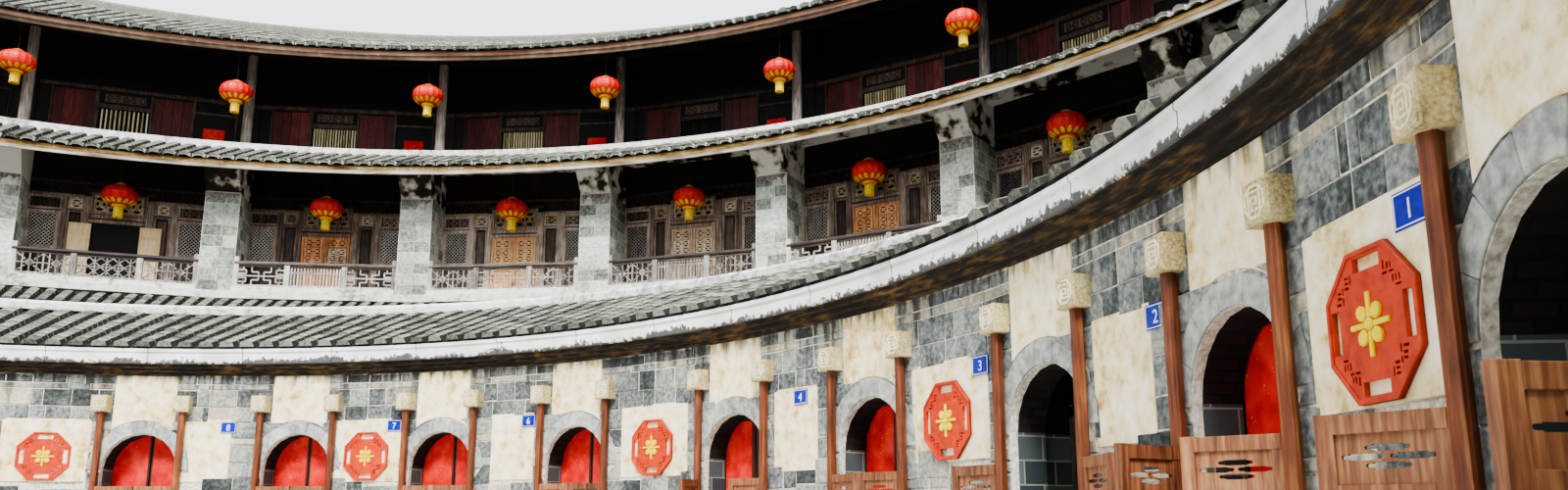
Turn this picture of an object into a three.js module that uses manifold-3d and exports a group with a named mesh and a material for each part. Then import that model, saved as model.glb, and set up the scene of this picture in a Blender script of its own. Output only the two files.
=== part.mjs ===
// Tulou roundhouse: a four-storey ring of rammed earth and timber around a low stone ring
// and a round courtyard. Every size below is the real building's, in millimetres; the whole
// group is then scaled to a 1:2 model. Origin: courtyard centre on the ground, +Z up.

import * as THREE from 'three';
import { mergeVertices } from 'three/addons/utils/BufferGeometryUtils.js';
import Module from 'manifold-3d';

const wasm = await Module();
wasm.setup();

const MODEL_SCALE = 0.5;
const GAP = 0.3;
const BAYS = 28;
const BAY = (2 * Math.PI) / BAYS;
const CORNER = 1 / Math.cos(BAY / 2);

// Bays run anticlockwise from the gate bay at -Y. The courtyard doors that open are bays 10 to 2.
const GATE_BAY = 0;
const SEEN_BAYS = [10, 9, 8, 7, 6, 5, 4, 3, 2];
const BARE_BAYS = [4, 2, GATE_BAY];

// How far a courtyard door stands off its bay's middle, to the right seen from the courtyard
const DOOR_SHIFT = { 10: 270, 9: 130, 8: 10, 7: -130, 6: 150, 5: 10, 4: 170, 3: 40, 2: 40 };

// Courtyard ring: stone wall, arched doorways, stone brackets
const COURT = { face: 9500, back: 10050, top: 2750, sides: 56 };
const DOORWAY = { half: 450, spring: 1550, rebateHalf: 530, rebateTop: 2080, rebateFrom: 9780 };
const BRACKET = { offset: 491, half: 95, reach: 140, bottom: 2280, height: 200 };
const STEP = { face: 9240, top: 150 };
const BACK_WALL = { face: 12200, back: 12550, doorHalf: 450, doorTop: 2100 };

// Half gates hang on tall poles, plank doors stand in the rebate behind the arch
const POLE = { y: 9435, radius: 40, sides: 8 };
const GATE = { bottom: 330, top: 1350, thick: 44, panelThick: 24, rail: 90, meeting: 6 };
const GATE_SLOTS = { width: 150, height: 20, z: 1196, pitch: 31, spread: 84 };
const LEAF = { pivot: 492, edge: 512, y: 9817.5, thick: 45, bottom: 165, top: 2060, meeting: 5 };
const PIN = { radius: 15, sides: 8 };

// Opening angles of the half gates, left and right leaf of each seen bay, in degrees
const GATE_REST = {
  10: [0, 0], 9: [0, 0], 8: [0, 0], 7: [0, 0], 6: [60, 0], 5: [8, 8], 4: [165, 165], 3: [65, 40], 2: [140, 100],
};

// Roof of the courtyard ring: eave at the courtyard, ridge, eave at the light well
const LOW_ROOF = { eave: 9290, ridge: 11067, eaveZ: 3065, slope: 0.405, thick: 95, cap: 100, capTop: 3970 };
const LOW_EAVE = { fascia: 9310, foot: 2880 };

// Outer ring
const FRONT = { face: 16480, back: 16980 };
const EARTH = { inner: 20600, foot: 22100, head: 21750 };
const PLINTH = { inner: 20560, outer: 22220, top: 1500 };
const FLOORS = { second: 2800, third: 5300, fourth: 8400, thick: 150 };
const PIER = { half: 315, back: 17326, cove: 7300, coveReach: 16180, coveTop: 7700 };
const PIER_BEAM = { inner: 17080, outer: 17300, depth: 200 };
const PENT = { eave: 15700, board: 15723, boardFoot: 7555, eaveZ: 7700, slope: 0.44, thick: 100, back: 17249.7 };
const BASE_PENT = { eave: 15750, eaveZ: 4710, backZ: 5040, thick: 105 };
const RAILING = { inner: 16520, outer: 16600, top: 5930, rail: 90, post: 80, ledge: 16415 };
const GALLERY_SCREEN = { face: 17370, thick: 60, windowHalf: 275, windowsAt: [-1350, 1232], sill: 6090, head: 7150 };
const TOP_POST = { r: 17655, radius: 100, sides: 6, beamHalf: 100, beamFoot: 10700 };
const TOP_SCREEN = { face: 18650, thick: 60, windowHalf: 480, windowAt: -510, sill: 8750, head: 9500 };
const HIGH_ROOF = { eave: 16623, board: 16673, boardFoot: 10367, eaveZ: 10535, slope: 0.5, thick: 110 };
const RIDGE = { r: 19950, half: 95, top: 12480, outerEave: 23400 };
const GATEWAY = { half: 950, spring: 2000, frame: 260 };
const EARTH_WINDOW = { half: 300, height: 800, thirdSill: 6600, fourthSill: 9400 };
const FRONT_DOOR = { half: 500, top: 2200, gateHalf: 900, gateTop: 2450 };
const FRONT_WINDOW = { half: 400, sill: 3600, head: 4600 };

const COLOURS = {
  stone: 0x7d8888, granite: 0xc3b184, plaster: 0xe6e4da, tile: 0x4d4d45, darkWood: 0x2f2622, earth: 0xb99a6a,
  brick: 0x8f9a8e, gate: 0x8a5436, red: 0xb02a1c, board: 0x9b7a55, maroon: 0x4a1717,
};

// Closed solids

function isInsideOut(geometry) {
  const p = geometry.attributes.position;
  const index = geometry.index;
  const [a, b, c] = [new THREE.Vector3(), new THREE.Vector3(), new THREE.Vector3()];
  let volume = 0;
  for (let i = 0; i < index.count; i += 3) {
    a.fromBufferAttribute(p, index.getX(i));
    b.fromBufferAttribute(p, index.getX(i + 1));
    c.fromBufferAttribute(p, index.getX(i + 2));
    volume += a.dot(b.cross(c));
  }
  return volume < 0;
}

function solid(geometry) {
  const bare = geometry.clone();
  for (const name of Object.keys(bare.attributes)) {
    if (name !== 'position') bare.deleteAttribute(name);
  }
  const merged = mergeVertices(bare, 1e-3);
  const corners = Uint32Array.from(merged.index.array);
  if (isInsideOut(merged)) {
    for (let i = 0; i < corners.length; i += 3) {
      [corners[i], corners[i + 1]] = [corners[i + 1], corners[i]];
    }
  }
  const mesh = new wasm.Mesh({
    numProp: 3,
    vertProperties: Float32Array.from(merged.attributes.position.array),
    triVerts: corners,
  });
  mesh.merge();
  return new wasm.Manifold(mesh);
}

function join(solids) {
  return wasm.Manifold.union(solids);
}

function toGeometry(shape) {
  const { vertProperties, triVerts, numProp } = shape.getMesh();
  const positions = new Float32Array((vertProperties.length / numProp) * 3);
  for (let i = 0, j = 0; i < vertProperties.length; i += numProp, j += 3) {
    positions.set(vertProperties.subarray(i, i + 3), j);
  }
  const geometry = new THREE.BufferGeometry();
  geometry.setAttribute('position', new THREE.BufferAttribute(positions, 3));
  geometry.setIndex(new THREE.BufferAttribute(Uint32Array.from(triVerts), 1));
  return geometry;
}

// Shapes, in a bay's own frame: x to the right seen from the courtyard, y outward, z up

function block(x0, x1, y0, y1, z0, z1) {
  const geometry = new THREE.BoxGeometry(x1 - x0, y1 - y0, z1 - z0);
  return geometry.translate((x0 + x1) / 2, (y0 + y1) / 2, (z0 + z1) / 2);
}

function pole(x, y, radius, sides, z0, z1) {
  const geometry = new THREE.CylinderGeometry(radius, radius, z1 - z0, sides);
  return geometry.rotateX(Math.PI / 2).translate(x, y, (z0 + z1) / 2);
}

function frontOutline(shape, y0, y1, steps = 4) {
  const geometry = new THREE.ExtrudeGeometry(shape, {
    depth: y1 - y0, bevelEnabled: false, curveSegments: steps, steps: 1,
  });
  return geometry.rotateX(Math.PI / 2).translate(0, y1, 0);
}

function sideOutline(points, x0, x1) {
  const shape = new THREE.Shape(points.map(([y, z]) => new THREE.Vector2(y, z)));
  const geometry = new THREE.ExtrudeGeometry(shape, { depth: x1 - x0, bevelEnabled: false, steps: 1 });
  geometry.rotateX(Math.PI / 2).rotateZ(Math.PI / 2);
  return geometry.translate(x0, 0, 0);
}

function floorOutline(points, z0, z1) {
  const shape = new THREE.Shape(points.map(([x, y]) => new THREE.Vector2(x, y)));
  return new THREE.ExtrudeGeometry(shape, { depth: z1 - z0, bevelEnabled: false, steps: 1 }).translate(0, 0, z0);
}

function archShape(half, spring, foot = -10) {
  const shape = new THREE.Shape();
  shape.moveTo(-half, foot);
  shape.lineTo(half, foot);
  shape.lineTo(half, spring);
  shape.absarc(0, spring, half, 0, Math.PI, false);
  shape.lineTo(-half, foot);
  return shape;
}

// A round wall, floor, roof or rail from its outline of [radius, height] points; the radius
// is that of the flat faces, one behind each door

function ring(points, sides = BAYS) {
  const corner = 1 / Math.cos(Math.PI / sides);
  const outline = [...points, points[0]].map(([r, z]) => new THREE.Vector2(r * corner, z));
  const geometry = new THREE.LatheGeometry(outline, sides);
  return solid(geometry.rotateX(Math.PI / 2).rotateZ(Math.PI / sides));
}

function flatRing(inner, outer, foot, top, sides = BAYS) {
  return ring([[inner, foot], [outer, foot], [outer, top], [inner, top]], sides);
}

function bayAngle(bay) {
  return bay * BAY + Math.PI;
}

function inBay(bay, geometry) {
  return solid(geometry.clone().rotateZ(bayAngle(bay)));
}

function inBays(bays, geometries) {
  return bays.flatMap((bay) => geometries.map((geometry) => inBay(bay, geometry)));
}

function bayRange(first, count) {
  return Array.from({ length: count }, (_, i) => first + i);
}

const ALL_BAYS = bayRange(0, BAYS);

function doorBay(bay) {
  return bay - (DOOR_SHIFT[bay] ?? 0) / (COURT.face * BAY);
}

const DOOR_BAYS = ALL_BAYS.map(doorBay);

// The part of a round wall from one bay to another, with a hair's gap at each end

function segment(wall, first, count, reach) {
  const turn = GAP / (2 * reach);
  const from = (first - 0.5) * BAY + turn - Math.PI / 2;
  const sweep = count * BAY - 2 * turn;
  const fan = new THREE.Shape();
  fan.moveTo(0, 0);
  for (let i = 0; i <= count; i += 1) {
    const angle = from + (sweep * i) / count;
    fan.lineTo(2 * reach * Math.cos(angle), 2 * reach * Math.sin(angle));
  }
  const depth = 2 * HIGH_ROOF.boardFoot;
  const prism = new THREE.ExtrudeGeometry(fan, { depth, bevelEnabled: false, steps: 1 });
  return wall.intersect(solid(prism.translate(0, 0, -100)));
}

// Heights on the sloping roofs

function lowRoofUnder(r) {
  const run = r <= LOW_ROOF.ridge ? r - LOW_ROOF.eave : 2 * LOW_ROOF.ridge - LOW_ROOF.eave - r;
  return LOW_ROOF.eaveZ + LOW_ROOF.slope * run;
}

function pentUnder(r) {
  return PENT.eaveZ + PENT.slope * (r - PENT.eave);
}

function highRoofUnder(r) {
  const run = r <= RIDGE.r ? r - HIGH_ROOF.eave : 2 * RIDGE.r - HIGH_ROOF.eave - r;
  return HIGH_ROOF.eaveZ + HIGH_ROOF.slope * run;
}

// Courtyard ring

function courtWall() {
  const { half, spring, rebateHalf, rebateTop, rebateFrom } = DOORWAY;
  const doorway = frontOutline(archShape(half, spring), COURT.face - 200, COURT.back + 200, 5);
  const rebate = block(-rebateHalf, rebateHalf, rebateFrom, COURT.back + 200, -10, rebateTop);
  const brackets = [-1, 1].map((side) => {
    const x = side * BRACKET.offset;
    const top = BRACKET.bottom + BRACKET.height;
    return block(x - BRACKET.half, x + BRACKET.half, COURT.face - BRACKET.reach, COURT.face + 60, BRACKET.bottom, top);
  });
  const wall = flatRing(COURT.face, COURT.back, 0, COURT.top, COURT.sides);
  return join([wall, ...inBays(DOOR_BAYS, brackets)]).subtract(join(inBays(DOOR_BAYS, [doorway, rebate])));
}

function shutGateShape() {
  const inner = BRACKET.offset - POLE.radius;
  const outer = BRACKET.offset + POLE.radius;
  const [foot, top] = [STEP.top - 50, BRACKET.bottom - GAP];
  const outline = [
    [-outer, foot], [-inner, foot], [-inner, GATE.bottom], [inner, GATE.bottom], [inner, foot], [outer, foot],
    [outer, top], [inner, top], [inner, GATE.top], [-inner, GATE.top], [-inner, top], [-outer, top],
  ];
  return new THREE.Shape(outline.map(([x, z]) => new THREE.Vector2(x, z)));
}

function thresholdCourse() {
  const { half, rebateHalf, rebateFrom } = DOORWAY;
  const course = flatRing(STEP.face, COURT.face - GAP, 0, STEP.top, COURT.sides);
  const sill = floorOutline([
    [-half + GAP, COURT.face - 60], [half - GAP, COURT.face - 60], [half - GAP, rebateFrom + GAP],
    [rebateHalf - GAP, rebateFrom + GAP], [rebateHalf - GAP, COURT.back], [-rebateHalf + GAP, COURT.back],
    [-rebateHalf + GAP, rebateFrom + GAP], [-half + GAP, rebateFrom + GAP],
  ], 0, STEP.top);
  const closedBays = ALL_BAYS.filter((bay) => !SEEN_BAYS.includes(bay) && bay !== GATE_BAY);
  const doors = block(-LEAF.edge, LEAF.edge, LEAF.y - LEAF.thick / 2, LEAF.y + LEAF.thick / 2, 100, LEAF.top);
  const gates = frontOutline(shutGateShape(), POLE.y - POLE.radius / 2, POLE.y + POLE.radius / 2);
  return join([course, ...inBays(DOOR_BAYS, [sill]), ...inBays(closedBays, [doors, gates])]);
}

function backWall() {
  const { face, back, doorHalf, doorTop } = BACK_WALL;
  const wall = ring([[face, 0], [back, 0], [back, lowRoofUnder(back) - GAP], [face, lowRoofUnder(face) - GAP]]);
  const doorway = block(-doorHalf, doorHalf, face - 300, back + 300, -10, doorTop);
  return wall.subtract(join(inBays(ALL_BAYS, [doorway])));
}

function lowEave() {
  const { fascia, foot } = LOW_EAVE;
  const corbel = COURT.face - 20;
  const middle = (corbel + fascia) / 2;
  const shelf = COURT.top + GAP;
  return ring([
    [COURT.back, shelf], [COURT.back, lowRoofUnder(COURT.back) - GAP], [fascia, lowRoofUnder(fascia) - GAP],
    [fascia, foot], [middle, foot], [middle, (foot + shelf) / 2], [corbel, (foot + shelf) / 2], [corbel, shelf],
  ]);
}

function lowRoof() {
  const { eave, ridge, thick, cap } = LOW_ROOF;
  const far = 2 * ridge - eave;
  const flat = lowRoofUnder(ridge - cap) + thick;
  return ring([
    [eave, lowRoofUnder(eave)], [ridge, lowRoofUnder(ridge)], [far, lowRoofUnder(far)],
    [far, lowRoofUnder(far) + thick], [ridge + cap, flat], [ridge - cap, flat], [eave, lowRoofUnder(eave) + thick],
  ]);
}

function lowRidge() {
  const { ridge, cap, thick, capTop } = LOW_ROOF;
  const foot = lowRoofUnder(ridge - cap) + thick + GAP;
  return flatRing(ridge - cap, ridge + cap, foot, capTop);
}

// Moving leaves, about their own pivot at the origin: side -1 is the left leaf, 1 the right

function halfGate(side) {
  const free = -side * (BRACKET.offset - GATE.meeting);
  const [x0, x1] = [0, free].sort((a, b) => a - b);
  const halfThick = GATE.thick / 2;
  const panel = block(x0, x1, -GATE.panelThick / 2, GATE.panelThick / 2, GATE.bottom, GATE.top);
  const rail = block(x0, x1, -halfThick, halfThick, GATE.top - GATE.rail, GATE.top);
  const post = pole(0, 0, POLE.radius, POLE.sides, STEP.top + GAP, BRACKET.bottom - GAP);
  const { width, height, z, pitch, spread } = GATE_SLOTS;
  const slots = [[0, pitch], [-spread, 0], [spread, 0], [0, -pitch]].map(([dx, dz]) => {
    const x = (x0 + x1) / 2 + dx;
    return solid(block(x - width / 2, x + width / 2, -halfThick, halfThick, z + dz - height / 2, z + dz + height / 2));
  });
  return join([panel, rail, post].map(solid)).subtract(join(slots));
}

function plankDoor(side) {
  const outer = side * (LEAF.edge - LEAF.pivot);
  const inner = -side * (LEAF.pivot - LEAF.meeting);
  const [x0, x1] = [outer, inner].sort((a, b) => a - b);
  const leaf = block(x0, x1, -LEAF.thick / 2, LEAF.thick / 2, LEAF.bottom, LEAF.top);
  const pin = pole(0, 0, PIN.radius, PIN.sides, STEP.top + GAP, DOORWAY.rebateTop - GAP);
  return join([leaf, pin].map(solid));
}

// Outer ring: masonry and floors

function plinth() {
  const { inner, outer, top } = PLINTH;
  const gateway = frontOutline(archShape(GATEWAY.half, GATEWAY.spring), inner - 500, outer + 500, 4);
  const wide = GATEWAY.half + GATEWAY.frame;
  const frame = frontOutline(archShape(wide, GATEWAY.spring, 0), EARTH.foot - 450, outer + 120, 4);
  const base = join([flatRing(inner, outer, 0, top), inBay(GATE_BAY, frame)]);
  return base.subtract(inBay(GATE_BAY, gateway));
}

function earthWall() {
  const { inner, foot, head } = EARTH;
  const base = PLINTH.top + GAP;
  const wall = ring([
    [inner, base], [foot, base], [head, highRoofUnder(head) - GAP], [inner, highRoofUnder(inner) - GAP],
  ]);
  const { half, height, thirdSill, fourthSill } = EARTH_WINDOW;
  const windows = [thirdSill, fourthSill].map((z) => block(-half, half, inner - 500, foot + 500, z, z + height));
  const gateway = frontOutline(archShape(GATEWAY.half, GATEWAY.spring), inner - 500, foot + 500, 4);
  const wide = GATEWAY.half + GATEWAY.frame + GAP;
  const frameSeat = frontOutline(archShape(wide, GATEWAY.spring), foot - 450 - GAP, foot + 500, 4);
  const cuts = [...inBays(ALL_BAYS, windows), inBay(GATE_BAY, gateway), inBay(GATE_BAY, frameSeat)];
  return wall.subtract(join(cuts));
}

function frontWall() {
  const { face, back } = FRONT;
  const wall = flatRing(face, back, 0, FLOORS.third - FLOORS.thick - GAP);
  const { half, top, gateHalf, gateTop } = FRONT_DOOR;
  const door = block(-half, half, face - 300, back + 300, -10, top);
  const gate = block(-gateHalf, gateHalf, face - 300, back + 300, -10, gateTop);
  const window = block(-FRONT_WINDOW.half, FRONT_WINDOW.half, face - 300, back + 300, FRONT_WINDOW.sill, FRONT_WINDOW.head);
  return wall.subtract(join([...inBays(ALL_BAYS, [door, window]), inBay(GATE_BAY, gate)]));
}

function floorRing(inner, top) {
  return flatRing(inner, EARTH.inner - GAP, top - FLOORS.thick, top);
}

function piers() {
  const foot = FLOORS.third + GAP;
  const { half, back, cove, coveReach, coveTop } = PIER;
  const underFloor = FLOORS.fourth - FLOORS.thick - GAP;
  const meet = PENT.eave + (underFloor - PENT.eaveZ) / PENT.slope;
  const profile = [
    [FRONT.face, foot], [back, foot], [back, underFloor], [meet + 1, underFloor],
    [coveReach, pentUnder(coveReach) - GAP], [coveReach, coveTop], [FRONT.face - 120, cove + 150], [FRONT.face, cove],
  ].map(([r, z]) => [r * CORNER, z]);
  const pier = sideOutline(profile, -half, half);
  const beam = flatRing(PIER_BEAM.inner, PIER_BEAM.outer, underFloor - PIER_BEAM.depth, underFloor);
  return join([beam, ...ALL_BAYS.map((bay) => inBay(bay + 0.5, pier))]);
}

// Outer ring: timber fronts

function galleryScreen() {
  const { face, thick, windowHalf, windowsAt, sill, head } = GALLERY_SCREEN;
  const wall = flatRing(face, face + thick, FLOORS.third + GAP, FLOORS.fourth - FLOORS.thick - GAP);
  const windows = windowsAt.map((x) => {
    return block(x - windowHalf, x + windowHalf, face - 100, face + 200, sill, head);
  });
  return wall.subtract(join(inBays(ALL_BAYS, windows)));
}

function topScreen() {
  const { face, thick, windowHalf, windowAt, sill, head } = TOP_SCREEN;
  const top = highRoofUnder(face) - GAP;
  const wall = ring([[face, FLOORS.fourth + GAP], [face + thick, FLOORS.fourth + GAP], [face + thick, top], [face, top]]);
  const window = block(windowAt - windowHalf, windowAt + windowHalf, face - 100, face + 200, sill, head);
  return wall.subtract(join(inBays(ALL_BAYS, [window])));
}

function galleryRailing() {
  const { inner, outer, top, rail, post, ledge } = RAILING;
  const foot = FLOORS.third + GAP;
  const shelf = foot + 40;
  const reach = Math.tan(BAY / 2) * FRONT.face - (PIER.half + GAP) * CORNER;
  const panel = sideOutline([
    [ledge + 20, foot], [outer, foot], [outer, top], [inner, top], [inner, shelf], [ledge + 20, shelf],
  ], -reach, reach);
  const opening = block(-reach + post, reach - post, inner - 50, outer + 50, foot + rail, top - rail);
  const ledgeRing = flatRing(ledge, FRONT.face - GAP, foot, shelf);
  return join([ledgeRing, ...inBays(ALL_BAYS, [panel])]).subtract(join(inBays(ALL_BAYS, [opening])));
}

function topPosts() {
  const { r, radius, sides, beamHalf, beamFoot } = TOP_POST;
  const [inner, outer] = [r - beamHalf, r + beamHalf];
  const beam = ring([
    [inner, beamFoot], [outer, beamFoot], [outer, highRoofUnder(outer) - GAP], [inner, highRoofUnder(inner) - GAP],
  ]);
  const post = pole(0, r * CORNER, radius, sides, FLOORS.fourth + GAP, beamFoot + 50);
  return join([beam, ...ALL_BAYS.map((bay) => inBay(bay + 0.5, post))]);
}

// Outer ring: roofs and eave boards

function basePent() {
  const { eave, eaveZ, backZ, thick } = BASE_PENT;
  const wall = FRONT.face - GAP;
  return ring([[eave, eaveZ], [wall, backZ], [wall, backZ + thick], [eave, eaveZ + thick]]);
}

function pentRoof() {
  const { eave, back, thick } = PENT;
  const topZ = pentUnder(back) + thick;
  return ring([
    [eave, pentUnder(eave)], [back, pentUnder(back)], [back, topZ + 80],
    [back - 120, topZ + 80], [back - 120, pentUnder(back - 120) + thick], [eave, pentUnder(eave) + thick],
  ]);
}

function eaveBoard(face, foot, under) {
  const back = face + 40;
  return ring([[face, foot], [back, foot], [back, under(back) - GAP], [face, under(face) - GAP]]);
}

function roofFlat() {
  return highRoofUnder(RIDGE.r - RIDGE.half) + HIGH_ROOF.thick;
}

function courtSlope() {
  const { eave, thick } = HIGH_ROOF;
  const end = RIDGE.r - GAP / 2;
  return ring([
    [eave, highRoofUnder(eave)], [end, highRoofUnder(end)], [end, roofFlat()],
    [RIDGE.r - RIDGE.half, roofFlat()], [eave, highRoofUnder(eave) + thick],
  ]);
}

function outerSlope() {
  const { r, half, outerEave } = RIDGE;
  const start = r + GAP / 2;
  return ring([
    [start, highRoofUnder(start)], [outerEave, highRoofUnder(outerEave)],
    [outerEave, highRoofUnder(outerEave) + HIGH_ROOF.thick], [r + half, roofFlat()], [start, roofFlat()],
  ]);
}

function outerRidge() {
  const half = RIDGE.half - 5;
  return flatRing(RIDGE.r - half, RIDGE.r + half, roofFlat() + GAP, RIDGE.top);
}

// The scene graph

const roundhouse = new THREE.Group();
roundhouse.scale.setScalar(MODEL_SCALE);

function named(name, shape, colour, roughness = 0.85) {
  const material = new THREE.MeshStandardMaterial({ color: colour, roughness, metalness: 0 });
  const mesh = new THREE.Mesh(toGeometry(shape), material);
  mesh.name = name;
  return mesh;
}

const wholeCourtWall = courtWall();
const wholeEarthWall = earthWall();

roundhouse.add(
  named('court_wall_gate_side', segment(wholeCourtWall, -3, 7, COURT.back), COLOURS.stone),
  named('court_wall_right', segment(wholeCourtWall, 4, 7, COURT.back), COLOURS.stone),
  named('court_wall_left', segment(wholeCourtWall, 11, 14, COURT.back), COLOURS.stone),
  named('threshold_course', thresholdCourse(), COLOURS.granite),
  named('inner_back_wall', backWall(), COLOURS.brick),
  named('inner_eave', lowEave(), COLOURS.plaster),
  named('inner_roof', lowRoof(), COLOURS.tile),
  named('inner_ridge', lowRidge(), COLOURS.plaster),
  named('outer_plinth', plinth(), COLOURS.granite),
  named('outer_wall_gate_side', segment(wholeEarthWall, -4, 9, EARTH.foot), COLOURS.earth),
  named('outer_wall_right', segment(wholeEarthWall, 5, 9, EARTH.foot), COLOURS.earth),
  named('outer_wall_left', segment(wholeEarthWall, 14, 10, EARTH.foot), COLOURS.earth),
  named('lower_front_wall', frontWall(), COLOURS.brick),
  named('second_floor', floorRing(FRONT.back + GAP, FLOORS.second), COLOURS.darkWood),
  named('gallery_floor', floorRing(RAILING.ledge - 10, FLOORS.third), COLOURS.plaster),
  named('top_floor', floorRing(PENT.back + GAP, FLOORS.fourth), COLOURS.darkWood),
  named('gallery_piers', piers(), COLOURS.brick),
  named('gallery_screen', galleryScreen(), COLOURS.darkWood),
  named('gallery_railing', galleryRailing(), COLOURS.darkWood),
  named('top_posts', topPosts(), COLOURS.darkWood),
  named('top_screen', topScreen(), COLOURS.maroon),
  named('base_pent_roof', basePent(), COLOURS.tile),
  named('gallery_pent_roof', pentRoof(), COLOURS.tile),
  named('gallery_eave_board', eaveBoard(PENT.board, PENT.boardFoot, pentUnder), COLOURS.board),
  named('top_eave_board', eaveBoard(HIGH_ROOF.board, HIGH_ROOF.boardFoot, highRoofUnder), COLOURS.board),
  named('outer_roof_court_slope', courtSlope(), COLOURS.tile),
  named('outer_roof_outer_slope', outerSlope(), COLOURS.tile),
  named('outer_ridge', outerRidge(), COLOURS.tile),
);

SEEN_BAYS.forEach((bay, index) => {
  const frame = new THREE.Group();
  frame.rotation.z = bayAngle(doorBay(bay));
  roundhouse.add(frame);
  for (const side of [-1, 1]) {
    const word = side < 0 ? 'left' : 'right';
    const gate = named(`half_gate_${index}_${word}`, halfGate(side), COLOURS.gate);
    gate.position.set(side * BRACKET.offset, POLE.y, 0);
    gate.rotation.z = side * THREE.MathUtils.degToRad(GATE_REST[bay][side < 0 ? 0 : 1]);
    frame.add(gate);
    if (!BARE_BAYS.includes(bay)) {
      const door = named(`plank_door_${index}_${word}`, plankDoor(side), COLOURS.red);
      door.position.set(side * LEAF.pivot, LEAF.y, 0);
      frame.add(door);
    }
  }
});

export default roundhouse;
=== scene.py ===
import math
import random
from functools import partial

import bmesh
import bpy
from mathutils import Matrix, Vector


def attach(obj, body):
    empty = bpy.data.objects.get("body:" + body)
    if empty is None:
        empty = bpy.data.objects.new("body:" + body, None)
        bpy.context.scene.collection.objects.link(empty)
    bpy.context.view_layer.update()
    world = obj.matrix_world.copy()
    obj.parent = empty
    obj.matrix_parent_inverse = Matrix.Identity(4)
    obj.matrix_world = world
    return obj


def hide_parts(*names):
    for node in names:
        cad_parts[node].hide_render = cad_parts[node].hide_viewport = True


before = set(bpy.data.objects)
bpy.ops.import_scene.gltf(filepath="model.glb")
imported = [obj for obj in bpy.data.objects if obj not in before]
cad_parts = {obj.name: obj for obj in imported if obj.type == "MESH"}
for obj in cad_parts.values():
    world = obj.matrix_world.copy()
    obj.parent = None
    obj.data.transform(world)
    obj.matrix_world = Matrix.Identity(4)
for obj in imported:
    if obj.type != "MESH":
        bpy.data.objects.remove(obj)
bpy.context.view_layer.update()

# The view: a wide view from low in the courtyard, up and along the doors on the right.
# Lengths in this script are the real building's millimetres, and REAL turns them into the
# half-size model's metres.
REAL = 0.0005
EYE = (459.6, -8194.0, 1000.0)
HEADING = math.radians(58.62)
TILT_UP = math.radians(10.32)
FOCAL_PX = 1067.5
PHOTO_WIDE, PHOTO_HIGH = 1600, 500
HORIZON_CENTRE_PX = 330.5

lens = bpy.data.cameras.new("eye")
lens.sensor_width = 36.0
lens.lens = FOCAL_PX / PHOTO_WIDE * lens.sensor_width
lens.shift_y = (HORIZON_CENTRE_PX - PHOTO_HIGH / 2) / PHOTO_WIDE
lens.clip_start = 0.02
lens.clip_end = 400
eye = bpy.data.objects.new("eye", lens)
eye.location = Vector(EYE) * REAL
eye.rotation_euler = (math.pi / 2 + TILT_UP, 0, -HEADING)
bpy.context.scene.collection.objects.link(eye)
bpy.context.scene.camera = eye


def colour(hexes):
    """A linear colour from an sRGB hex value."""
    parts = [int(hexes[i:i + 2], 16) / 255 for i in (0, 2, 4)]
    return tuple(p / 12.92 if p <= 0.04045 else ((p + 0.055) / 1.055) ** 2.4 for p in parts) + (1.0,)


# The light: a soft sun over the left shoulder and a pale even sky, on a pale floor.
SKY = "dfe6ec"
SKY_STRENGTH = 2.7
SUN_STRENGTH = 6.0
SUN_TURN = (math.radians(42), 0, math.radians(-60))
FLOOR_HALF = 60.0

sky = bpy.data.worlds.new("studio sky")
sky.use_nodes = True
sky.node_tree.nodes["Background"].inputs["Color"].default_value = colour(SKY)
sky.node_tree.nodes["Background"].inputs["Strength"].default_value = SKY_STRENGTH
bpy.context.scene.world = sky
bpy.context.scene.view_settings.look = "AgX - Medium High Contrast"
sun_light = bpy.data.lights.new("sun", "SUN")
sun_light.energy = SUN_STRENGTH
sun_light.angle = math.radians(18)
sun = bpy.data.objects.new("sun", sun_light)
sun.rotation_euler = SUN_TURN
bpy.context.scene.collection.objects.link(sun)


def add(tree, kind, links=None, **settings):
    """A node with its settings and links."""
    node = tree.nodes.new(kind)
    for key, value in settings.items():
        setattr(node, key, value)
    for socket, source in (links or {}).items():
        if isinstance(source, bpy.types.NodeSocket):
            tree.links.new(source, node.inputs[socket])
        else:
            node.inputs[socket].default_value = source
    return node


def calc(tree, operation, *values):
    """The result of a sum on one to three numbers."""
    return add(tree, "ShaderNodeMath", dict(enumerate(values)), operation=operation).outputs[0]


def stretched(tree, place, factors):
    """A place with each coordinate multiplied."""
    return add(tree, "ShaderNodeVectorMath", {0: place, 1: factors}, operation="MULTIPLY").outputs[0]


def remap(tree, value, low, high, to_low, to_high):
    """A value moved from one range to another, and kept inside it."""
    return add(tree, "ShaderNodeMapRange", {0: value, 1: low, 2: high, 3: to_low, 4: to_high}).outputs[0]


def noise(tree, place, scale, detail, roughness=0.5):
    """Cloudy noise from 0 to 1."""
    return add(tree, "ShaderNodeTexNoise", {"Vector": place, "Scale": scale, "Detail": detail,
                                            "Roughness": roughness}).outputs["Fac"]


def ramp(tree, value, stops):
    """A colour picked by a value from 0 to 1: each stop is a percentage and its hex."""
    words = stops.split()
    node = add(tree, "ShaderNodeValToRGB", {"Fac": value})
    elements = node.color_ramp.elements
    while len(elements) < len(words) // 2:
        elements.new(0.5)
    for element, percent, shade in zip(elements, words[::2], words[1::2]):
        element.position = int(percent) / 100
        element.color = colour(shade)
    return node.outputs["Color"]


def blend(tree, share, under, over, kind="MIX"):
    """One colour over another, by its share."""
    return add(tree, "ShaderNodeMix", {0: share, 6: under, 7: over}, data_type="RGBA",
               blend_type=kind).outputs[2]


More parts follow.
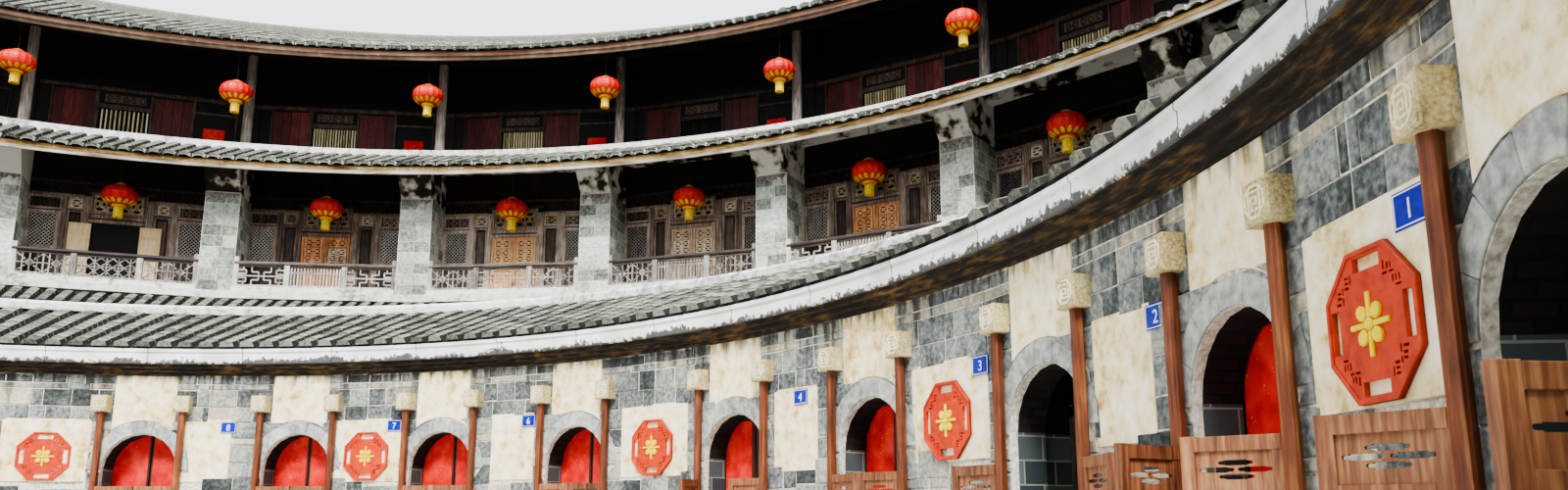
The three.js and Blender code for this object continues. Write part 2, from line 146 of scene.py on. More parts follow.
def split(tree, place):
    """The three coordinates of a place."""
    return add(tree, "ShaderNodeSeparateXYZ", {0: place}).outputs


def brickwork(tree, place, shades, mortar, joint, wide, row, smooth=0.3, bias=-0.2):
    """Blocks in courses, in two shades with joints in a third: lengths in mm."""
    return add(tree, "ShaderNodeTexBrick", {
        "Vector": place, "Color1": colour(shades[0]), "Color2": colour(shades[1]),
        "Mortar": colour(mortar), "Scale": 1.0, "Mortar Size": joint * REAL, "Mortar Smooth": smooth,
        "Bias": bias, "Brick Width": wide * REAL, "Row Height": row * REAL}).outputs


def per(length):
    """How many of a length in mm go into the model's metre."""
    return 1 / (length * REAL)


def socket_of(material, name):
    """An input of a material's shader."""
    return material.node_tree.nodes["Principled BSDF"].inputs[name]


def own_place(tree):
    """The point on the object that all the patterns read."""
    return add(tree, "ShaderNodeTexCoord").outputs["Object"]


def new_material(name, roughness):
    """A material with its nodes and the place that its patterns read."""
    material = bpy.data.materials.new(name)
    material.use_nodes = True
    socket_of(material, "Roughness").default_value = roughness
    return material, material.node_tree, own_place(material.node_tree)


def surface(material, shade, grain, relief):
    """Gives a material its colour and its bump, whose relief is in mm."""
    tree = material.node_tree
    tree.links.new(shade, socket_of(material, "Base Color"))
    bump = add(tree, "ShaderNodeBump", {"Height": grain, "Distance": relief * REAL, "Strength": 0.8})
    tree.links.new(bump.outputs["Normal"], socket_of(material, "Normal"))
    return material


floor_paint = new_material("pale floor", 0.8)[0]
socket_of(floor_paint, "Base Color").default_value = colour("cfcfcb")
floor_mesh = bpy.data.meshes.new("floor")
floor_mesh.from_pydata([(x, y, -0.001) for x, y in ((-1, -1), (1, -1), (1, 1), (-1, 1))], [],
                       [(0, 1, 2, 3)])
floor_mesh.transform(Matrix.Diagonal((FLOOR_HALF, FLOOR_HALF, 1, 1)))
floor_mesh.materials.append(floor_paint)
floor = bpy.data.objects.new("floor", floor_mesh)
bpy.context.scene.collection.objects.link(floor)

# Courtyard wall: coursed blue-grey stone in pale mortar, with arched heads over 28 doorways.
# The solid is the mortar and the dark linings of the doorways; the face stones, the arch
# stones and the plaster panels are laid on it, a finger's width proud.
BAYS = 28
BAY = 2 * math.pi / BAYS
COURT_FACE = 9500.0
WALL_TOP = 2745.0
FACET = COURT_FACE * math.tan(BAY / 4)
DOOR_HALF, DOOR_SPRING = 450.0, 1550.0
ARCH_DEPTH = 165.0
SIGN_HALF, PLAIN_HALF = 500.0, 315.0
PANEL_FOOT, PANEL_HEAD = 1400.0, 2185.0
OVER_DOOR_HALF, OVER_DOOR_FOOT = 372.0, 2085.0
COURSES = (150, 240, 90, 255, 200, 235, 70, 215, 190, 225, 80, 205, 195, 215, 75, 150, 156)
MORTAR, STONE_PROUD = 10.0, 9.0
ARCH_STONES = 7
rng = random.Random(7)
# How far along the face a door or a sign stands off its bay's middle.
DOOR_SHIFT = {10: 270, 9: 130, 8: 10, 7: -130, 6: 150, 5: 10, 4: 170, 3: 40, 2: 40}
SIGN_SHIFT = {10: 230, 8: 35, 4: 25, 2: 90}


def at_door(bay):
    """The turn, in bays, of a courtyard door, which stands a little off its bay's middle."""
    return bay - DOOR_SHIFT.get(bay, 0) / (COURT_FACE * BAY)


def in_bay(bay, x, y, z):
    """A point from a bay's own frame (right, outward, up) in the model."""
    turn = bay * BAY + math.pi
    c, s = math.cos(turn), math.sin(turn)
    return ((x * c - y * s) * REAL, (x * s + y * c) * REAL, z * REAL)


def on_wall(bay, along, out, z):
    """A point on the courtyard wall, by its distance along the face from the door's middle."""
    steps = round(along / (2 * FACET))
    return in_bay(bay - steps / 2, along - steps * 2 * FACET, COURT_FACE - out, z)


def wall_place(bay, middle, foot=0):
    """Where points lie on the courtyard wall, measured from a middle and a foot."""
    return lambda x, out, z: on_wall(bay, middle + x, out, foot + z)


def face_place(bay, face, across=1, outward=-1, middle=0, foot=0):
    """Where points lie on a bay's flat face: along it, out of it and up."""
    return lambda x, out, z: in_bay(bay, middle + across * x, face + outward * out, foot + z)


class Heap:
    """Solids that become one mesh, each with a tone from 0 to 1 and a finish's number."""

    def __init__(self):
        self.points, self.faces, self.tones, self.finishes = [], [], [], []

    def solid(self, points, faces, tone, finish=0):
        """Adds one solid, its faces counted from its own first point."""
        first = len(self.points)
        self.points.extend(points)
        self.faces.extend([tuple(first + i for i in face) for face in faces])
        self.tones.extend([tone] * len(points))
        self.finishes.extend([finish] * len(faces))

    def make(self, name, materials, body="building", slot=None, nodes=()):
        """Makes the mesh, which rides with a body and stands in for the named solids."""
        mesh = bpy.data.meshes.new(name)
        mesh.from_pydata(self.points, [], self.faces)
        for material in materials:
            mesh.materials.append(material)
        mesh.polygons.foreach_set("material_index", self.finishes)
        tone = mesh.attributes.new("tone", "FLOAT", "POINT")
        tone.data.foreach_set("value", self.tones)
        grid = bmesh.new()
        grid.from_mesh(mesh)
        bmesh.ops.recalc_face_normals(grid, faces=grid.faces)
        grid.to_mesh(mesh)
        grid.free()
        thing = bpy.data.objects.new(name, mesh)
        bpy.context.scene.collection.objects.link(thing)
        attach(thing, body)
        if nodes:
            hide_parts(*nodes)


def inset(outline, edge):
    """A convex outline moved inwards by an edge's width."""
    moved = []
    for i, (x, z) in enumerate(outline):
        before = Vector(outline[i]) - Vector(outline[i - 1])
        after = Vector(outline[(i + 1) % len(outline)]) - Vector(outline[i])
        a = Vector((-before.y, before.x)).normalized()
        b = Vector((-after.y, after.x)).normalized()
        step = (a + b) * edge / max(0.25, 1 + a.dot(b))
        moved.append((x + step.x, z + step.y))
    return moved


def dressed(heap, place, outline, base, proud, edge, tone=0.5, finish=0):
    """A stone or board on a face: its outline runs anticlockwise, and its front arrises are worn."""
    count = len(outline)
    soft = inset(outline, edge)
    points = [place(x, base, z) for x, z in outline]
    points += [place(x, proud - edge, z) for x, z in outline]
    points += [place(x, proud, z) for x, z in soft]
    faces = [tuple(reversed(range(count))), tuple(range(2 * count, 3 * count))]
    for level in (0, count):
        for i in range(count):
            j = (i + 1) % count
            faces.append((level + i, level + j, level + count + j, level + count + i))
    heap.solid(points, faces, tone, finish)


def bar(heap, place, start, end, wide, back, front, tone, finish):
    """A straight bar in a flat frame from one point to another."""
    along = (Vector(end) - Vector(start)).normalized() * (wide / 2)
    (x0, z0), (x1, z1) = start, end
    shape = [(x0 + along.y, z0 - along.x), (x1 + along.y, z1 - along.x), (x1 - along.y, z1 + along.x),
             (x0 - along.y, z0 + along.x)]
    dressed(heap, place, shape, back, front, 2, tone, finish)


def oblong(x0, x1, z0, z1):
    """The outline of an upright rectangle."""
    return [(x0, z0), (x1, z0), (x1, z1), (x0, z1)]


def plank(heap, place, x0, x1, z0, z1, *rest):
    """A dressed oblong: its sides, and then what dressed takes."""
    dressed(heap, place, oblong(x0, x1, z0, z1), *rest)


def framed(heap, place, x0, x1, z0, z1, wide, back, front, tone, finish):
    """Two stiles and two rails round an opening."""
    left, right = x0 + wide, x1 - wide
    for sides in ((x0, left, z0, z1), (right, x1, z0, z1), (left, right, z0, z0 + wide),
                  (left, right, z1 - wide, z1)):
        plank(heap, place, *sides, back, front, 4, tone, finish)


def ellipse(cx, cz, rx, rz, sides=8):
    """The outline of a disc or a rounded hole."""
    turns = [2 * math.pi * i / sides for i in range(sides)]
    return [(cx + rx * math.cos(turn), cz + rz * math.sin(turn)) for turn in turns]


def rotated(outline, turn):
    """An outline turned about the origin."""
    c, s = math.cos(turn), math.sin(turn)
    return [(x * c - z * s, x * s + z * c) for x, z in outline]


def ring_half(height, reach):
    """Half the width of an arch of this radius at a height, and of its doorway below."""
    rise = max(0.0, height - DOOR_SPRING)
    return math.sqrt(max(0.0, reach * reach - rise * rise))


def stone_tone(height):
    """Most stones are blue-grey, a few are dark, and thin levelling stones are browner."""
    if height < 100:
        return rng.uniform(0.6, 0.95)
    return min(1.0, max(0.0, rng.gauss(0.42, 0.2)))


def stone_course(heap, bay, foot, head):
    """One course of one bay: stones of mixed length that stop at panels, door and arch."""
    middle = (foot + head) / 2
    shift = DOOR_SHIFT.get(bay, 0)
    ends = [-2 * FACET - shift, 2 * FACET - shift]
    if PANEL_FOOT < middle < PANEL_HEAD:
        ends[0] += (SIGN_HALF if bay % 2 == 0 else PLAIN_HALF) + SIGN_SHIFT.get(bay, 0)
        ends[1] -= (PLAIN_HALF if bay % 2 == 0 else SIGN_HALF) - SIGN_SHIFT.get(bay - 1, 0)
    inner = [ring_half(z, DOOR_HALF + (ARCH_DEPTH if z > DOOR_SPRING else 0)) for z in (foot, head)]
    if middle > DOOR_SPRING and foot < DOOR_SPRING:
        inner = [ring_half(z, DOOR_HALF + ARCH_DEPTH) for z in (DOOR_SPRING, head)]
    inner = [max(near, OVER_DOOR_HALF + 2) if middle > OVER_DOOR_FOOT else near for near in inner]
    for side in (-1, 1):
        end = abs(ends[0] if side < 0 else ends[1])
        cuts = [0.0]
        reach = end - max(inner)
        while reach - cuts[-1] > 420:
            cuts.append(cuts[-1] + rng.uniform(190, 400) * (1.25 if head - foot < 100 else 1))
        cuts.append(reach)
        for number, (near, far) in enumerate(zip(cuts, cuts[1:])):
            low = near + (inner[0] if number == 0 else max(inner))
            high = near + (inner[1] if number == 0 else max(inner))
            out = far + max(inner)
            j = MORTAR / 2
            shape = [(low + j, foot + j), (out - j, foot + j), (out - j, head - j), (high + j, head - j)]
            shape = [(x + rng.uniform(-4, 4), z + rng.uniform(-4, 4)) for x, z in shape]
            if side < 0:
                shape = [(-x, z) for x, z in reversed(shape)]
            proud = STONE_PROUD + rng.uniform(-3, 4)
            dressed(heap, wall_place(bay, shift), shape, 0, proud, 7, stone_tone(head - foot))


face_stones = Heap()
for bay in range(BAYS):
    level = 0.0
    heights = list(COURSES)
    if bay % 3:
        heights = heights[:2] + rng.sample(heights[2:12], 10) + heights[12:]
    for height in heights:
        stone_course(face_stones, bay, level, min(level + height, WALL_TOP))
        level += height
    over_arch = wall_place(bay, DOOR_SHIFT.get(bay, 0))
    for number in range(ARCH_STONES):
        a0 = math.pi * number / ARCH_STONES + 0.003
        a1 = math.pi * (number + 1) / ARCH_STONES - 0.003
        near, far = DOOR_HALF + 2, DOOR_HALF + ARCH_DEPTH + rng.uniform(-12, 6)
        turns = [a0 + (a1 - a0) * step / 3 for step in range(4)]
        wedge = [(far, a) for a in turns] + [(near, a) for a in reversed(turns)]
        wedge = [(r * math.cos(a), DOOR_SPRING + r * math.sin(a)) for r, a in wedge]
        tone = rng.uniform(0.25, 0.8)
        dressed(face_stones, over_arch, wedge, 0, STONE_PROUD + 4, 4, tone, 1)
    low_edge = []
    for step in range(13):
        x = -OVER_DOOR_HALF + OVER_DOOR_HALF * step / 6
        low_edge.append((x, DOOR_SPRING + ring_half(DOOR_SPRING + abs(x), DOOR_HALF + ARCH_DEPTH + 12)))
    panel = low_edge + [(OVER_DOOR_HALF, WALL_TOP), (-OVER_DOOR_HALF, WALL_TOP)]
    dressed(face_stones, over_arch, panel, 0, 12, 3, 0.5, 2)
    half, middle = SIGN_HALF if bay % 2 == 0 else PLAIN_HALF, -2 * FACET + SIGN_SHIFT.get(bay, 0)
    plank(face_stones, wall_place(bay, middle), -half, half, PANEL_FOOT, PANEL_HEAD, 0, 10, 4, 0.5, 2)


def around(tree, place, radius):
    """The place measured along the ring at this radius, outwards, and up."""
    parts = split(tree, place)
    flat = stretched(tree, place, (1.0, 1.0, 0.0))
    out = add(tree, "ShaderNodeVectorMath", {0: flat}, operation="LENGTH").outputs["Value"]
    along = calc(tree, "MULTIPLY", calc(tree, "ARCTAN2", parts["Y"], parts["X"]), radius * REAL)
    return add(tree, "ShaderNodeCombineXYZ", {0: along, 1: out, 2: parts["Z"]}).outputs[0]


def aged(name, stops, grain, relief, roughness, stretch=(1, 1, 1), radius=None, tone=0.0, patch=0.55,
         streak=None):
    """A matt weathered material: grain and relief in mm, tone by piece, stains that run down."""
    material, tree, place = new_material(name, roughness)
    if radius:
        place = around(tree, place, radius)
    fine = noise(tree, stretched(tree, place, [s * per(grain) for s in stretch]), 1.0, 7.0, 0.62)
    broad = noise(tree, place, per(9 * grain), 4.0)
    spread = calc(tree, "MULTIPLY_ADD", broad, patch, -patch / 2)
    mixed = calc(tree, "ADD", fine, spread)
    if tone:
        own = add(tree, "ShaderNodeAttribute", attribute_name="tone").outputs["Fac"]
        mixed = calc(tree, "ADD", mixed, calc(tree, "MULTIPLY_ADD", own, tone, -tone / 2))
    shade = ramp(tree, mixed, stops)
    if streak:
        dirt, head, foot, amount = streak
        lines = noise(tree, stretched(tree, place, (per(90), per(90), per(900))), 1.0, 5.0)
        fall = remap(tree, split(tree, place)["Z"], foot * REAL, head * REAL, -0.28, 0.12)
        wet = calc(tree, "ADD", lines, fall)
        mask = remap(tree, wet, 0.46, 0.68, 0.0, amount)
        shade = blend(tree, mask, shade, colour(dirt))
    return surface(material, shade, fine, relief)


# Blue-grey volcanic stone, split and picked: matt, cold, each block its own shade, some nearly
# slate-black and a few brownish, with lime bloom.
BLUE_STONE = aged("picked blue-grey stone",
                  "10 1e2122  30 464a49  48 747875  62 979a92  80 bdb092  95 dbd2bb", 42, 6, 0.88,
                  tone=0.6, streak=("1b1916", 2760, 2200, 0.88))
# Arch stones: the same quarry, dressed smoother and paler.
ARCH_STONE = aged("dressed grey arch stone", "20 5c5f5c  40 8b8d88  58 adaea6  85 d6d0bd", 70, 2.5,
                  0.82, tone=0.25)
# Lime plaster on clay, cream, blistered and run down by rain: the stains are black mould.
CREAM_PLASTER = aged("cream lime plaster", "18 7c6438  33 c8aa6c  46 ecd9a8  66 fbf2d8",
                     120, 3, 0.9, streak=("2f2a20", 2760, 2480, 0.8))


def lined_wall():
    """Pale lime mortar on the face; inside the doorways dark laid stone under a sooted brick vault."""
    material, tree, place = new_material("lime mortar and dark lining stone", 0.9)
    parts = split(tree, around(tree, place, COURT_FACE))
    laid = add(tree, "ShaderNodeCombineXYZ", {0: parts["Y"], 1: parts["Z"]}).outputs[0]
    blocks = brickwork(tree, laid, ("30393b", "5c6665"), "8d8b7e", 6, 310, 172)
    vault = brickwork(tree, laid, ("0e0a09", "221512"), "060505", 9, 150, 60)
    above = calc(tree, "GREATER_THAN", parts["Z"], (DOOR_SPRING + 20) * REAL)
    lining = blend(tree, above, blocks["Color"], vault["Color"])
    fine = noise(tree, place, per(30), 7.0)
    lime = ramp(tree, fine, "30 a19a87  50 d6d0bf  70 f2eee2")
    inside = calc(tree, "GREATER_THAN", parts["Y"], (COURT_FACE + 65) * REAL)
    return surface(material, blend(tree, inside, lime, lining), fine, 4)


def dress(node, material):
    """Gives a solid of the frame its material."""
    mesh = bpy.data.objects[node].data
    mesh.materials.clear()
    mesh.materials.append(material)


LINED_WALL = lined_wall()
for node in ("court_wall_gate_side", "court_wall_right", "court_wall_left"):
    dress(node, LINED_WALL)
face_stones.make("court_wall_stones", [BLUE_STONE, ARCH_STONE, CREAM_PLASTER], slot="blue_grey_stone")

# Stone brackets: two over each doorway, granite blocks tailed into the wall, that hold the
# heads of the gate poles. Their sides are rough, and their fronts carry a cut octagon and key.
BRACKET_OFFSET, BRACKET_HALF = 491.0, 95.0
BRACKET_FRONT, BRACKET_FOOT, BRACKET_HEIGHT = 9360.0, 2280.0, 200.0
GRANITE = aged("weathered yellow granite", "20 5a4e36  36 9c8c62  52 c6b585  78 e2d6b2", 16, 4, 0.9)
CUT_GRANITE = aged("cut granite face", "20 a3966f  36 d8cba4  50 ece2c4  75 f8f2e0", 14, 1.5, 0.85)
brackets = Heap()
for bay in range(BAYS):
    for side in (-1, 1):
        on_bracket = face_place(at_door(bay), BRACKET_FRONT, middle=side * BRACKET_OFFSET,
                                foot=BRACKET_FOOT)
        board = partial(plank, brackets, on_bracket)
        half, tall = BRACKET_HALF + 4, BRACKET_HEIGHT + 3
        board(-half, half, -2, tall, -148, 6, 9)
        middle = BRACKET_HEIGHT / 2
        for number in range(8):
            a0, a1 = (math.radians(45 * number + turn) for turn in (22.5, 67.5))
            rim = [(84, a0), (84, a1), (72, a1), (72, a0)]
            rim = [(r * math.cos(a), middle + r * math.sin(a)) for r, a in rim]
            dressed(brackets, on_bracket, rim, 5, 12, 2, 0.5, 1)
        key = ((-48, 48, 42, 52), (38, 48, -44, 42), (-28, 38, -44, -34), (-28, -18, -34, 22),
               (-18, 22, 14, 22), (14, 22, -16, 14), (-8, 14, -16, -8), (-48, -38, -52, 42))
        for x0, x1, z0, z1 in key:
            board(x0, x1, middle + z0, middle + z1, 5, 12, 2, 0.5, 1)
brackets.make("bracket_stones", [GRANITE, CUT_GRANITE], slot="granite")

# Half gates: waist-high gates on tall poles that turn between the step and the bracket. Each
# leaf is a mortised frame with a plank field below and a panel sawn with four cloud slots.
POLE_LINE = 9435.0
POLE_FOOT, POLE_HEAD = 151.0, 2279.0
GATE_FOOT, GATE_HEAD, GATE_REACH = 330.0, 1350.0, 485.0
SEEN_BAYS = (10, 9, 8, 7, 6, 5, 4, 3, 2)
GATE_REST = {6: (60, 0), 5: (8, 8), 4: (165, 165), 3: (65, 40), 2: (140, 100)}


def grained(name, stops, roughness, tone=0.35, radius=None):
    """Timber with its grain upright, or along the ring where a radius is given."""
    stretch = (1.0, 1.0, 0.07) if radius is None else (0.07, 1.0, 1.0)
    return aged(name, stops, 22, 1.6, roughness, stretch, radius, tone, 0.35)


# Camphor and fir, oiled and handled for years: honey-brown heart, darker at rails and feet.
GATE_WOOD = grained("oiled fir gate", "20 2c1a12  40 6b4029  56 8f5d3d  80 b98a62", 0.55)
POLE_WOOD = grained("squared fir pole", "20 30160c  40 60301a  58 7f4526  80 a56e40", 0.5)


def stacked(sides, levels):
    """The faces of a round piece made of rings of points, with closed ends."""
    faces = []
    for level in range(levels - 1):
        a, b = level * sides, (level + 1) * sides
        for i in range(sides):
            j = (i + 1) % sides
            faces.append((a + i, a + j, b + j, b + i))
    return faces + [tuple(reversed(range(sides))), tuple(range((levels - 1) * sides, levels * sides))]


def tube(heap, place, centre, rings, sides, tone, finish=0):
    """A round upright piece from (radius, height) rings, with closed ends."""
    cx, cy = centre
    points = [place(x, y, z) for radius, z in rings for x, y in ellipse(cx, cy, radius, radius, sides)]
    heap.solid(points, stacked(sides, len(rings)), tone, finish)


def sawn_panel(outline, holes, half_thick):
    """The points and faces of a flat board with sawn holes, in its own plane."""
    flat = bpy.data.curves.new("sawn board", "CURVE")
    flat.dimensions = "2D"
    flat.fill_mode = "BOTH"
    flat.extrude = half_thick * REAL
    for loop in [outline] + holes:
        line = flat.splines.new("POLY")
        line.points.add(len(loop) - 1)
        for point, (x, z) in zip(line.points, loop):
            point.co = (x * REAL, z * REAL, 0, 1)
        line.use_cyclic_u = True
    board = bpy.data.objects.new("sawn board", flat)
    bpy.context.scene.collection.objects.link(board)
    mesh = bpy.data.meshes.new_from_object(board)
    points = [tuple(v / REAL for v in vertex.co) for vertex in mesh.vertices]
    faces = [tuple(face.vertices) for face in mesh.polygons]
    bpy.data.objects.remove(board)
    bpy.data.meshes.remove(mesh)
    return points, faces


def cloud(cx, cz):
    """The outline of a cloud slot: a long bar, stepped thinner to its round ends."""
    edge = [(77, 0), (75, 5), (69, 8), (52, 8), (48, 12), (-48, 12), (-52, 8), (-69, 8), (-75, 5),
            (-77, 0)]
    return [(cx + x, cz + z) for x, z in edge] + [(cx + x, cz - z) for x, z in reversed(edge[1:-1])]


STILE_IN, STILE_OUT = 92.0, 418.0
MIDDLE = GATE_REACH / 2
SLOT_LINE, SLOT_PITCH, SLOT_SPREAD = 1196.0, 31.0, 84.0
SLOTS = [cloud(MIDDLE, SLOT_LINE + SLOT_PITCH), cloud(MIDDLE, SLOT_LINE - SLOT_PITCH),
         cloud(MIDDLE - SLOT_SPREAD, SLOT_LINE), cloud(MIDDLE + SLOT_SPREAD, SLOT_LINE)]
slot_board = sawn_panel(oblong(STILE_IN - 8, STILE_OUT + 8, 1095, 1282), SLOTS, 8)


def gate_place(bay, side):
    """Where a point of a gate leaf lies at rest."""
    rest = math.radians(GATE_REST.get(bay, (0, 0))[0 if side < 0 else 1]) * side
    c, s = math.cos(rest), math.sin(rest)

    def place(u, out, z):
        x, y = -side * u, -out
        return in_bay(at_door(bay), side * BRACKET_OFFSET + x * c - y * s, POLE_LINE + x * s + y * c, z)
    return place


def half_gate(heap, bay, side):
    """One leaf with its pole, from its reach from the pole, towards the court and up."""
    place, tone = gate_place(bay, side), rng.uniform(0.25, 0.75)
    arris = [(36, -24), (36, 24), (24, 36), (-24, 36), (-36, 24), (-36, -24), (-24, -36), (24, -36)]
    waist = ((0.9, POLE_FOOT), (1, POLE_FOOT + 20), (0.96, 1700), (1, POLE_HEAD))
    points = [place(x * f, y * f, z) for f, z in waist for x, y in arris]
    heap.solid(points, stacked(len(arris), 4), tone, 1)
    panel = [place(u, y, z) for u, z, y in slot_board[0]]
    heap.solid(panel, slot_board[1], min(1, tone + 0.15))
    board = partial(plank, heap, place)
    for u0, u1, z0, z1, thick in ((30, 84, GATE_FOOT, 1346, 19),
                                  (418, GATE_REACH, GATE_FOOT, GATE_HEAD, 21),
                                  (40, 420, 1278, 1346, 23), (80, 420, 1035, 1100, 18),
                                  (80, 420, GATE_FOOT, 415, 18)):
        board(u0, u1, z0, z1, -thick, thick, 3.5, tone + rng.uniform(-0.12, 0.12))
    for number in range(4):
        u0 = 92 + number * 81.5
        shade = tone + rng.uniform(-0.18, 0.18)
        board(u0 + 1, u0 + 80.5, 410, 1040, -8, 8, 2.5, shade)
    board(150, 360, 500, 950, 7, 13, 5, tone + 0.1)


WORDS = {-1: "left", 1: "right"}
for index, bay in enumerate(SEEN_BAYS):
    for side in (-1, 1):
        gate = Heap()
        half_gate(gate, bay, side)
        name = f"half_gate_{index}_{WORDS[side]}"
        gate.make(f"{name}_leaf", [GATE_WOOD, POLE_WOOD], f"{name}_body", "gate_timber", [name])

# Plank doors: two leaves behind each arch, four broad fir planks each on pins, covered with
# red paper at the new year, flecked with gold, with a ring pull on an iron rose.
LEAF_LINE, LEAF_PIVOT = 9817.5, 492.0
DOOR_FOOT, DOOR_HEAD = 165.0, 2060.0
DOOR_WOOD = grained("dark door planks", "20 1a0f0b  45 3b2117  60 56301f  80 6e4430", 0.7)
IRON = aged("forged iron", "30 1b1a19  60 3a3532  80 5c4a3c", 8, 0.6, 0.55)
socket_of(IRON, "Metallic").default_value = 0.85


def flecked_paper():
    """Red paper: strong flat red, gone paler in places, with gold leaf flecks of 6 mm."""
    material, tree, place = new_material("red paper with gold flecks", 0.65)
    broad = noise(tree, place, per(160), 5.0)
    red = ramp(tree, broad, "30 b8140f  50 e0201a  72 ee4a38")
    flecks = add(tree, "ShaderNodeTexVoronoi", {"Vector": place, "Scale": per(46), "Randomness": 1.0})
    leaf = calc(tree, "LESS_THAN", flecks.outputs["Distance"], 0.11)
    shade = blend(tree, leaf, red, colour("e2a53c"))
    tree.links.new(shade, socket_of(material, "Base Color"))
    return material


RED_PAPER = flecked_paper()


def plank_door(heap, bay, side, wide_paper):
    """One shut leaf, from its reach from the pin, towards the court and up."""
    place = face_place(at_door(bay), LEAF_LINE, -side, middle=side * LEAF_PIVOT)
    board = partial(plank, heap, place)
    tube(heap, place, (0, 0), [(15, 151), (15, 2079)], 10, 0.3, 1)
    for number in range(4):
        u0 = -20 + number * 126.5
        shade = rng.uniform(0.15, 0.8)
        board(u0 + 1, u0 + 125.5, DOOR_FOOT, DOOR_HEAD, -22, 22, 5, shade)
    for z in (420, 1140, 1830):
        board(-5, 470, z - 35, z + 35, -24, -21, 1, 0.4)
    u0, u1, z0, z1 = (30, 462, 1175, 2035) if wide_paper else (45, 440, 1080, 1950)
    board(u0, u1, z0, z1, 21.5, 23.4, 0.5, 0.5, 2)
    pull = 1075 if wide_paper else 930
    dressed(heap, place, ellipse(425, pull, 26, 26, 10), 21.5, 29, 3, 0.6, 1)
    ring = ellipse(425, pull - 34, 38, 38, 16)
    for start, end in zip(ring, ring[1:] + ring[:1]):
        bar(heap, place, start, end, 8, 27, 34, 0.6, 1)


for index, bay in enumerate(SEEN_BAYS):
    for side in (-1, 1):
        if bay in (4, 2):
            continue
        door = Heap()
        plank_door(door, bay, side, bay >= 7)
        name = f"plank_door_{index}_{WORDS[side]}"
        door.make(f"{name}_leaf", [DOOR_WOOD, IRON, RED_PAPER], f"{name}_body", "red_door", [name])

# Step course: long granite kerbs along the foot of the wall and a sill in each doorway. On the
# far side the same gates and doors stand shut.
KERB_FACE, KERB_TOP, SILL_BACK = 9240.0, 150.0, 10045.0
kerbs = Heap()
for bay in range(BAYS):
    for number in range(4):
        x0 = -2 * FACET + number * FACET
        plank(kerbs, wall_place(bay, 0), x0 + 3, x0 + FACET - 3, 0, KERB_TOP, 0.5,
              COURT_FACE - KERB_FACE, 10, rng.random())
    plank(kerbs, face_place(at_door(bay), SILL_BACK), -DOOR_HALF + 1, DOOR_HALF - 1, 0, KERB_TOP, 0, 600,
          4, rng.random())
shut = Heap()
shut_doors = Heap()
for bay in range(BAYS):
    if bay in SEEN_BAYS or bay == 0:
        continue
    for side in (-1, 1):
        half_gate(shut, bay, side)
        plank_door(shut_doors, bay, side, True)
kerbs.make("kerb_stones", [GRANITE], slot="granite", nodes=["threshold_course"])
shut.make("far_half_gates", [GATE_WOOD, POLE_WOOD], slot="gate_timber")
shut_doors.make("far_plank_doors", [DOOR_WOOD, IRON, RED_PAPER], slot="red_door")

# Signs: octagonal boards of red lacquer on the plaster between every second pair of doors, sawn
# through with four windows and small frets, with a raised yellow device nailed on the middle.
SIGN_HEIGHT, SIGN_HALF_SPAN, SIGN_CUT = 1712.0, 300.0, 172.0
RED_LACQUER = aged("red lacquered board", "20 8f2210  45 bb3418  60 c83f1f  85 d65a34", 60, 0.8, 0.42)
YELLOW_PAINT = aged("yellow enamel paint", "25 d8b800  50 f2d400  80 f8e23c", 40, 0.5, 0.45)


def octagon(half, cut):
    """An octagon's outline from its half span and the length cut from each corner."""
    near = half - cut
    return [(half, -near), (half, near), (near, half), (-near, half), (-half, near), (-half, -near),
            (-near, -half), (near, -half)]


sign_cuts = []
for quarter in range(4):
    shapes = [oblong(-88, 88, 214, 270)]
    for x, z, w, h in ((112, 206, 12, 34), (136, 198, 12, 26), (118, 172, 34, 10), (160, 172, 26, 10),
                       (156, 196, 10, 24), (186, 142, 10, 24), (166, 142, 12, 30), (196, 116, 34, 10),
                       (206, 142, 10, 26)):
        shapes.append(oblong(x - w / 2, x + w / 2, z - h / 2, z + h / 2))
    sign_cuts += [rotated(shape, quarter * math.pi / 2) for shape in shapes]
sign_board = sawn_panel(octagon(SIGN_HALF_SPAN, SIGN_CUT), sign_cuts, 9)
signs = Heap()
for bay in range(0, BAYS, 2):
    on_sign = wall_place(bay, -2 * FACET + SIGN_SHIFT.get(bay, 0), SIGN_HEIGHT)
    signs.solid([on_sign(x, 26 + y, z) for x, z, y in sign_board[0]], sign_board[1], rng.random())
    rim = octagon(SIGN_HALF_SPAN, SIGN_CUT)
    inner = octagon(SIGN_HALF_SPAN - 20, SIGN_CUT - 12)
    for i in range(8):
        j = (i + 1) % 8
        dressed(signs, on_sign, [rim[i], rim[j], inner[j], inner[i]], 17, 41, 2)
    for x, z in ((-200, 0), (200, 0), (0, 200), (0, -200)):
        plank(signs, on_sign, x - 12, x + 12, z - 12, z + 12, 5, 30, 1)
    for quarter in range(4):
        petal = rotated(ellipse(66, 0, 34, 30, 10), math.pi / 2 * quarter + math.pi / 4)
        dressed(signs, on_sign, petal, 34, 48, 4, 0.5, 1)
    for quarter in range(4):
        ray = rotated(oblong(26, 126, -11, 11), math.pi / 2 * quarter)
        dressed(signs, on_sign, ray, 34, 46, 4, 0.5, 1)
    dressed(signs, on_sign, ellipse(0, 0, 26, 26, 12), 34, 50, 5, 0.5, 1)
signs.make("door_signs", [RED_LACQUER, YELLOW_PAINT], slot="red_door")

